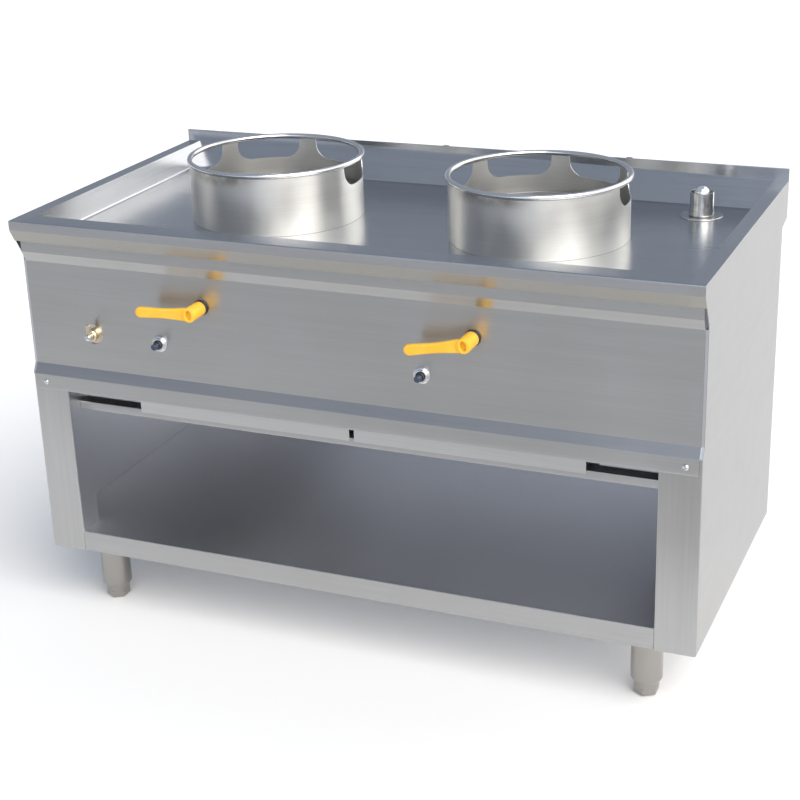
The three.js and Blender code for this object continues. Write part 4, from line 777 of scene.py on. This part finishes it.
def shell_faces(columns, layers):
    """The faces of two walls of columns by layers points, joined at their lower and upper edges."""
    faces = []
    size = columns * layers
    for c in range(columns):
        n = (c + 1) % columns
        for r in range(layers - 1):
            a, b = c * layers + r, n * layers + r
            faces.append([a, b, b + 1, a + 1])
            faces.append([size + a, size + a + 1, size + b + 1, size + b])
        a, b = c * layers, n * layers
        faces.append([a, size + a, size + b, b])
        t = layers - 1
        faces.append([a + t, b + t, size + b + t, size + a + t])
    return faces


def ring_rim(side, finish):
    node = f"wok_ring_rim_{side}"
    middle = centre(node)
    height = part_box(node)[1].z - RING_BAR
    radius = span(f"wok_ring_shell_{side}").x / 2 - SHEET / 2
    path = []
    for k in range(RING_BAR_STEPS):
        turn = 2 * math.pi * k / RING_BAR_STEPS
        path.append((middle.x + radius * math.cos(turn), middle.y + radius * math.sin(turn), height))
    piece(node + "_bar", [hoop(path, RING_BAR, 20)], finish, f"wok_ring_{side}", [node])


def burner_well(side, finish):
    node = f"burner_well_{side}"
    middle = centre(node)
    radius = span(node).x / 2 - WELL_FLANGE
    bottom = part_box(node)[0].z - FLOOR
    profile = [
        (WELL_OPENING, bottom),
        (radius, bottom),
        (radius, GAP),
        (radius + WELL_FLANGE, GAP),
        (radius + WELL_FLANGE, GAP + SHEET),
        (radius, GAP + SHEET),
        (radius, COLLAR_HEIGHT),
        (radius - SHEET, COLLAR_HEIGHT),
        (radius - SHEET, bottom + SHEET),
        (WELL_OPENING, bottom + SHEET),
    ]
    place = Matrix.Translation((middle.x, middle.y, FLOOR))
    piece(node + "_pan", [revolved(profile, 128)], finish, "cabinet", [node], place)


# ---------------------------------------------------------------- levers, collars and igniters


def pitted_hub(face, back):
    """The lever's round hub along Y, with an oval recess in its face."""
    rings = [
        (LEVER_HUB, LEVER_HUB, back),
        (LEVER_HUB, LEVER_HUB, face + HUB_EDGE),
        (LEVER_HUB - 0.3 * HUB_EDGE, LEVER_HUB - 0.3 * HUB_EDGE, face + 0.3 * HUB_EDGE),
        (LEVER_HUB - HUB_EDGE, LEVER_HUB - HUB_EDGE, face),
        (RECESS[0] + RECESS_RIM, RECESS[1] + RECESS_RIM, face),
        (RECESS[0], RECESS[1], face + RECESS_RIM),
        (RECESS[0] - RECESS_RIM, RECESS[1] - RECESS_RIM, face + RECESS_DEPTH),
    ]
    sections = []
    for wide, high, y in rings:
        turns = [2 * math.pi * k / HUB_SIDES for k in range(HUB_SIDES)]
        sections.append([(wide * math.cos(turn), y, high * math.sin(turn)) for turn in turns])
    return lofted(sections)


def lever_arm(face, start):
    """A flat arm along -X that narrows behind the hub, thins a little and ends round."""
    reach = LEVER_LENGTH - LEVER_TIP
    front = face + 1.2 * MM
    sections = []
    for i in range(ARM_STEPS + 1):
        t = i / ARM_STEPS
        u = min(t / ARM_TAPER, 1.0)
        narrow = LEVER_TIP + (LEVER_HUB - 1.6 * MM - LEVER_TIP) * (1 - u) ** 2.2
        half = narrow - 1.4 * MM * math.sin(math.pi * u) ** 2
        thick = LEVER_THICKNESS / 2 * (1 - 0.12 * u)
        x = -start - (reach - start) * u
        if t > ARM_TAPER:
            angle = (t - 0.8) / 0.2 * math.pi / 2 * 0.985
            x = -reach - LEVER_TIP * math.sin(angle)
            half = LEVER_TIP * math.cos(angle)
            thick *= 0.3 + 0.7 * math.cos(angle) ** 0.5
        sections.append(arm_section(x, front + LEVER_THICKNESS / 2, thick, half))
    return lofted(sections)


def arm_section(x, y, thick, half):
    """A rounded oblong across the arm, about (x, y, 0)."""
    loop = []
    for k in range(ARM_SIDES):
        turn = 2 * math.pi * k / ARM_SIDES
        c, s = math.cos(turn), math.sin(turn)
        out = thick * math.copysign(abs(c) ** 0.4, c)
        up = half * math.copysign(abs(s) ** 0.45, s)
        loop.append((x, y + out, up))
    return loop


def lever(side, tilt, finish):
    node = f"gas_lever_{side}"
    axis = centre(f"lever_collar_{side}")
    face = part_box(node)[0].y - PANEL_FACE
    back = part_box(f"lever_collar_{side}")[0].y - RUNNING - PANEL_FACE
    shapes = [pitted_hub(face, back), lever_arm(face, RECESS[0] + 1.6 * MM)]
    turn = Matrix.Rotation(math.radians(-tilt), 4, "Y")
    place = Matrix.Translation((axis.x, PANEL_FACE, axis.z)) @ turn
    piece(node + "_grip", shapes, finish, node, [node], place, 32)


def collar(side, finish):
    node = f"lever_collar_{side}"
    middle = centre(node)
    radius = span(node).x / 2
    depth = span(node).y
    profile = [
        (COLLAR_BORE, -GAP),
        (radius, -GAP),
        (radius, -1.6 * MM),
        (radius - 1 * MM, -GAP - depth),
        (COLLAR_BORE, -GAP - depth),
    ]
    shape = revolved(profile, 48, TURNED_ROUND, "Y")
    place = Matrix.Translation((middle.x, PANEL_FACE, middle.z))
    piece(node + "_bush", [shape], finish, "cabinet", [node], place)


def igniter_barrel(side, finish, place):
    """The threaded barrel, open in front, and its wider body behind the fascia."""
    node = f"igniter_body_{side}"
    thread = []
    y = -BARREL_NOSE + 1.0 * MM
    while y < -THREAD_PITCH:
        thread += [(BARREL - THREAD_DEPTH, y), (BARREL, y + THREAD_PITCH / 2)]
        y += THREAD_PITCH
    profile = [
        (0, SOCKET_END),
        (SOCKET, SOCKET_END),
        (SOCKET, -BARREL_NOSE),
        (BARREL - THREAD_DEPTH, -BARREL_NOSE),
        *thread,
        (BARREL, BARREL_SHOULDER),
        (BARREL_WIDE, BARREL_SHOULDER),
        (BARREL_WIDE, BARREL_REAR),
        (0, BARREL_REAR),
    ]
    shape = revolved(profile, 48, 0, "Y")
    piece(node + "_barrel", [shape], finish, "cabinet", [node], place, 25)


def igniter_nut(side, finish, place):
    node = f"igniter_nut_{side}"
    profile = [
        (NUT_BORE, -GAP),
        (NUT_RIM, -GAP),
        (NUT_RIM, -2.4 * MM),
        (NUT_RIM - 1.2 * MM, -2.6 * MM),
        (NUT_RIM - 1.2 * MM, -4.6 * MM),
        (NUT_NECK, -5.0 * MM),
        (NUT_NECK, -NUT_DEPTH),
        (NUT_BORE, -NUT_DEPTH),
    ]
    shape = revolved(profile, 64, TURNED_ROUND, "Y")
    piece(node + "_turned", [shape], finish, "cabinet", [node], place)


def igniter_button(side, finish, place):
    node = f"igniter_button_{side}"
    profile = [
        (0, -BUTTON_OUT + 0.5 * MM),
        (BUTTON - 1.6 * MM, -BUTTON_OUT),
        (BUTTON, -BUTTON_OUT + 1.2 * MM),
        (BUTTON, BUTTON_REAR),
        (0, BUTTON_REAR),
    ]
    shape = revolved(profile, 48, TURNED_ROUND, "Y")
    piece(node + "_cap", [shape], finish, node, [node], place)


def igniter(side, body_finish, nut_finish, button_finish):
    middle = centre(f"igniter_nut_{side}")
    place = Matrix.Translation((middle.x, PANEL_FACE, middle.z))
    igniter_barrel(side, body_finish, place)
    igniter_nut(side, nut_finish, place)
    igniter_button(side, button_finish, place)


# ---------------------------------------------------------------- standpipe and drain


def standpipe_tube(finish, place):
    """A tube with a turned foot that flares out of the drain."""
    low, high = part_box("standpipe")
    top = high.z - FLOOR
    foot = low.z - FLOOR
    profile = [
        (PIPE - SHEET, foot),
        (PIPE, foot),
        (PIPE, 2 * MM),
        (PIPE + PIPE_FLARE * 0.6, 3 * MM),
    ]
    for k in range(FLARE_STEPS + 1):
        t = k / FLARE_STEPS
        flare = PIPE_FLARE * (1 - t) ** 2 * (1 + 2 * t)
        profile.append((PIPE + flare, FLARE_FOOT + (top * FLARE_SHARE) * t))
    profile += [(PIPE, top), (PIPE - SHEET, top)]
    shape = revolved(profile, 96, 0.25 * MM)
    piece("standpipe_tube", [shape], finish, "standpipe", ["standpipe"], place)


def standpipe_knob(finish, place):
    """A ball on a stem, which a cross holds in the tube."""
    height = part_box("standpipe_knob")[1].z - FLOOR - BALL
    low, high = CROSS
    profile = [(0, height + BALL)]
    for k in range(1, BALL_STEPS):
        angle = math.pi * k / BALL_ARC
        profile.append((BALL * math.sin(angle), height + BALL * math.cos(angle)))
    profile += [(STEM, height - BALL + 0.8 * MM), (STEM, high), (0, high)]
    shapes = [
        revolved(profile, 64, 0),
        box((-CROSS_REACH, -CROSS_HALF, low), (CROSS_REACH, CROSS_HALF, high)),
        box((-CROSS_HALF, -CROSS_REACH, low), (CROSS_HALF, CROSS_REACH, high)),
    ]
    piece("standpipe_knob_ball", shapes, finish, "standpipe", ["standpipe_knob"], place, 40)


def drain_flange(finish, place):
    profile = [
        (DRAIN_BORE - DRAIN_LEDGE, DRAIN_BOTTOM),
        (DRAIN_NECK, DRAIN_BOTTOM),
        (DRAIN_NECK, GAP),
        (DRAIN_RIM, GAP),
        (DRAIN_RIM, GAP + 1.3 * MM),
        (DRAIN_RIM - 1.2 * MM, GAP + 2.2 * MM),
        (DRAIN_RIM - 4 * MM, GAP + 2.2 * MM),
        (DRAIN_NECK + 2 * MM, GAP + 1.2 * MM),
        (DRAIN_BORE, GAP + 1.2 * MM),
        (DRAIN_BORE, DRAIN_SEAT),
        (DRAIN_BORE - DRAIN_LEDGE, DRAIN_SEAT),
    ]
    shape = revolved(profile, 96, 0.4 * MM)
    piece("drain_flange_turned", [shape], finish, "cabinet", ["drain_flange"], place)


def drain(finish, polished):
    middle = centre("standpipe")
    place = Matrix.Translation((middle.x, middle.y, FLOOR))
    standpipe_tube(finish, place)
    standpipe_knob(polished, place)
    drain_flange(finish, place)


# ---------------------------------------------------------------- legs


def leg(corner, finish):
    node = f"leg_{corner}"
    middle = centre(node)
    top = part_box(node)[1].z
    low = FOOT_HEIGHT + GAP
    nose_top = FOOT_HEIGHT + LEG_NOSE
    shoulder = nose_top + LEG_TAPER
    profile = [
        (LEG_BORE, low),
        (LEG_NOSE_RADIUS, low),
        (LEG_NOSE_RADIUS, nose_top),
        (LEG, shoulder),
        (LEG, top - LEG_PLATE),
        (LEG_PLATE_RADIUS, top - LEG_PLATE),
        (LEG_PLATE_RADIUS, top),
        (LEG - LEG_WALL, top),
        (LEG - LEG_WALL, shoulder + LEG_WALL),
        (LEG_BORE, shoulder + LEG_WALL),
    ]
    place = Matrix.Translation((middle.x, middle.y, 0))
    shape = revolved(profile, 96, LEG_ROUND)
    piece(node + "_tube", [shape], finish, "cabinet", [node], place)


# ---------------------------------------------------------------- finishes by slot

PANEL_TONE = (0.45, 0.447, 0.443)
FINISH = {
    # The worktop's tint paints shade on its faces that look down.
    "worktop": brushed(
        "worktop_steel_painted_shade", (0.46, 0.47, 0.485), "X", 0.24, 0.6, ends=BASIN_HALF, tint=under_lip_painted_shade
    ),
    "panel": brushed("panel_steel", PANEL_TONE, "X", 0.3, 0.75),
    # The side panels' tint paints light on their inner faces and shade on their outer faces.
    "side": brushed("side_steel_painted_light_and_shade", (0.46, 0.458, 0.455), "Z", 0.34, 0.5, tint=side_painted_light_and_shade),
    # The inner finish's bright tone is painted light for the cavity; its tint gives the back panel's
    # outer face a darker tone.
    "inner": brushed("inner_steel_painted_light", (0.69, 0.7, 0.74), "X", 0.4, 0.3, tint=back_face),
    # The shelf's tint paints light on its face behind the front rail.
    "shelf": brushed("shelf_steel_painted_light", PANEL_TONE, "X", 0.32, 0.6, tint=shelf_inside_painted_light),
    "tray": brushed("tray_steel", (0.56, 0.56, 0.55), "X", 0.34, 0.6),
    "leg": brushed("leg_steel", (0.37, 0.355, 0.335), "Z", 0.24, 0.3, dents=0.0, marks=0.25),
    "chrome": plated("bright_plate", (0.75, 0.76, 0.78), 0.1),
    "ball": plated("polished_ball", (0.92, 0.93, 0.95), 0.12),
    "brass": plated("bare_brass", (0.72, 0.64, 0.51), 0.2, 0.06),
    "copper": plated("bare_copper", (0.6, 0.36, 0.24), 0.26, 0.08),
    "iron": cast_iron("sooty_casting"),
    "yellow": moulded("yellow_plastic", (0.84, 0.455, 0.03), (0.86, 0.5, 0.05), 0.38),
    "black": moulded("black_plastic", (0.02, 0.021, 0.024), (0.035, 0.035, 0.038), 0.45),
    "button": moulded("blue_black_plastic", (0.03, 0.045, 0.08), (0.05, 0.07, 0.11), 0.33),
    "ceramic": glazed("white_ceramic"),
}
SHEET_FINISH = {
    "side_panel_left": "side",
    "side_panel_right": "side",
    "back_panel": "inner",
    "bottom_shelf": "shelf",
}
SLOTS = {part["node"]: part["material_slot"] for part in RECORD["subparts"]}


def dress_rings():
    for side in SIDES:
        middle = centre(f"wok_ring_shell_{side}")
        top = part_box(f"wok_ring_shell_{side}")[1].z
        radius = span(f"wok_ring_shell_{side}").x / 2
        weld = Vector((middle.x - 0.25 * radius, middle.y - 0.97 * radius, top))
        about = {"grain": "ROUND", "around": middle, "radius": radius}
        looks = {"polish": 0.36, "anisotropy": 0.35, "scuffs": 0.03, "tint": heat_tint(top, weld)}
        steel = brushed(f"ring_steel_{side}", (0.69, 0.685, 0.66), **looks, **about)
        looks = {"polish": 0.2, "anisotropy": 0.3}
        bar_steel = brushed(f"rim_steel_{side}", (0.66, 0.66, 0.66), **looks, **about)
        well_steel = brushed(f"well_steel_{side}", (0.45, 0.45, 0.45), polish=0.3, **about)
        ring_shell(side, steel)
        ring_rim(side, bar_steel)
        burner_well(side, well_steel)


dress_rings()
for side, tilt in zip(SIDES, LEVER_TILT):
    lever(side, tilt, FINISH["yellow"])
    collar(side, FINISH["black"])
    igniter(side, FINISH["black"], FINISH["chrome"], FINISH["button"])
turned_steel = brushed(
    "standpipe_steel",
    (0.62, 0.62, 0.61),
    "ROUND",
    0.22,
    0.4,
    around=centre("standpipe"),
    radius=PIPE,
    dents=0.0,
)
drain(turned_steel, FINISH["ball"])
for corner in CORNERS:
    leg(corner, FINISH["leg"])

for name, node in NODES.items():
    if not node.hide_render:
        keep(name, FINISH[SHEET_FINISH.get(name, SLOTS[name])])


# ---------------------------------------------------------------- stage, light and camera


FLOOR_HALF = 30.0


def stage():
    mesh = bpy.data.meshes.new("floor")
    corners = [(x * FLOOR_HALF, y * FLOOR_HALF, 0) for x, y in ((-1, -1), (1, -1), (1, 1), (-1, 1))]
    mesh.from_pydata(corners, [], [(0, 1, 2, 3)])
    floor = bpy.data.objects.new("floor", mesh)
    mesh.materials.append(pale_floor("floor"))
    bpy.context.scene.collection.objects.link(floor)


def card(name, corners, tone):
    """A flat grey card on the floor, out of the picture, for the steel to reflect."""
    f = Finish(name)
    cloud = f.noise(f.place, 1.5, detail=2.0)
    f.set(Base_Color=f.mix(cloud, grey(tone * 1.05), grey(tone * 0.95)), Roughness=0.9)
    mesh = bpy.data.meshes.new(name)
    mesh.from_pydata([(x, y, 2 * MM) for x, y in corners], [], [range(len(corners))])
    mesh.materials.append(f.material)
    made = bpy.data.objects.new(name, mesh)
    bpy.context.scene.collection.objects.link(made)


def sun(name, towards, spread, power, colour):
    """A far soft lamp, which lights the floor evenly."""
    data = bpy.data.lights.new(name, "SUN")
    data.angle = math.radians(spread)
    data.energy = power
    data.color = colour
    lamp = bpy.data.objects.new(name, data)
    bpy.context.scene.collection.objects.link(lamp)
    lamp.rotation_mode = "QUATERNION"
    lamp.rotation_quaternion = (-Vector(towards)).to_track_quat("-Z", "Y")


# The light level with the floor, and overhead.
SKY_BASE = ((0.30, 0.33, 0.39), (0.40, 0.46, 0.56))
# For each brighter region: its direction, how much flatter than round it is, the half angles
# of its core and of its edge, and the light that it adds.
SKY_REGIONS = (
    ((0.0, -1.0, 0.0), 3.0, 15, 62, (0.4, 0.44, 0.54)),
    ((0.75, -0.6, 0.35), 1.0, 12, 50, (1.1, 1.0, 0.86)),
    ((1.0, 0.5, 0.35), 1.0, 15, 60, (1.2, 1.16, 1.1)),
    ((0.4, 0.85, 0.36), 1.0, 8, 30, (1.5, 1.42, 1.3)),
)


def sky():
    world = bpy.data.worlds.new("studio")
    bpy.context.scene.world = world
    world.use_nodes = True
    tree = world.node_tree
    link = tree.links.new
    background = tree.nodes["Background"]
    where = tree.nodes.new("ShaderNodeTexCoord").outputs["Generated"]
    split = tree.nodes.new("ShaderNodeSeparateXYZ")
    link(where, split.inputs[0])
    base = tree.nodes.new("ShaderNodeMix")
    base.data_type = "RGBA"
    base.inputs[6].default_value = rgb(*SKY_BASE[0])
    base.inputs[7].default_value = rgb(*SKY_BASE[1])
    link(split.outputs["Z"], base.inputs[0])
    total = base.outputs[2]
    for towards, flatter, core, edge, light in SKY_REGIONS:
        squeeze = tree.nodes.new("ShaderNodeVectorMath")
        squeeze.operation = "MULTIPLY"
        squeeze.inputs[1].default_value = (1, 1, flatter)
        link(where, squeeze.inputs[0])
        unit = tree.nodes.new("ShaderNodeVectorMath")
        unit.operation = "NORMALIZE"
        link(squeeze.outputs[0], unit.inputs[0])
        angle = tree.nodes.new("ShaderNodeVectorMath")
        angle.operation = "DOT_PRODUCT"
        angle.inputs[1].default_value = (Vector(towards) * Vector((1, 1, flatter))).normalized()
        link(unit.outputs[0], angle.inputs[0])
        share = tree.nodes.new("ShaderNodeMapRange")
        share.interpolation_type = "SMOOTHSTEP"
        share.inputs["From Min"].default_value = math.cos(math.radians(edge))
        share.inputs["From Max"].default_value = math.cos(math.radians(core))
        link(angle.outputs["Value"], share.inputs["Value"])
        add = tree.nodes.new("ShaderNodeMix")
        add.data_type = "RGBA"
        add.blend_type = "ADD"
        add.clamp_result = False
        add.inputs[7].default_value = rgb(*light)
        link(share.outputs[0], add.inputs[0])
        link(total, add.inputs[6])
        total = add.outputs[2]
    link(total, background.inputs["Color"])
    background.inputs["Strength"].default_value = 1.0


FRONT_CARD = (
    (-12.0, -14.0),
    (2.0, -14.0),
    (2.0, -0.78),
    (1.0, -0.85),
    (-0.45, -1.15),
    (-12.0, -3.6),
)
FRONT_CARD_TONE = 0.42
KEY_LIGHT = ((0.62, -0.5, 0.75), 60, 2.9, (1.0, 0.97, 0.92))
FILL_LIGHT = ((0.1, -1.0, 0.22), 40, 0.3, (0.86, 0.92, 1.0))
CAMERA_PLACE = (1.29505, -3.02232, 1.74145)
CAMERA_YAW = -23.358  # degrees, from +Y towards -X
CAMERA_PITCH = 21.570  # degrees below level
CAMERA_ROLL = 1.839  # degrees
CAMERA_LENS = 75.78
CAMERA_SHIFT = (-0.0057, -0.0059)


def camera():
    data = bpy.data.cameras.new("camera")
    data.lens = CAMERA_LENS
    data.sensor_width = 36.0
    data.shift_x, data.shift_y = CAMERA_SHIFT
    data.clip_end = 100.0
    made = bpy.data.objects.new("camera", data)
    bpy.context.scene.collection.objects.link(made)
    yaw, pitch, roll = (math.radians(a) for a in (CAMERA_YAW, CAMERA_PITCH, CAMERA_ROLL))
    forward = Vector((math.sin(yaw) * math.cos(pitch), math.cos(yaw) * math.cos(pitch), -math.sin(pitch)))
    level = Vector((math.cos(yaw), -math.sin(yaw), 0))
    down = forward.cross(level)
    right = level * math.cos(roll) + down * math.sin(roll)
    down = down * math.cos(roll) - level * math.sin(roll)
    turn = Matrix((right, -down, -forward)).transposed().to_4x4()
    made.matrix_world = Matrix.Translation(CAMERA_PLACE) @ turn
    bpy.context.scene.camera = made


stage()
sky()
card("front_card", FRONT_CARD, FRONT_CARD_TONE)
sun("key", *KEY_LIGHT)
sun("fill", *FILL_LIGHT)
camera()
bpy.context.scene.view_settings.view_transform = "Standard"
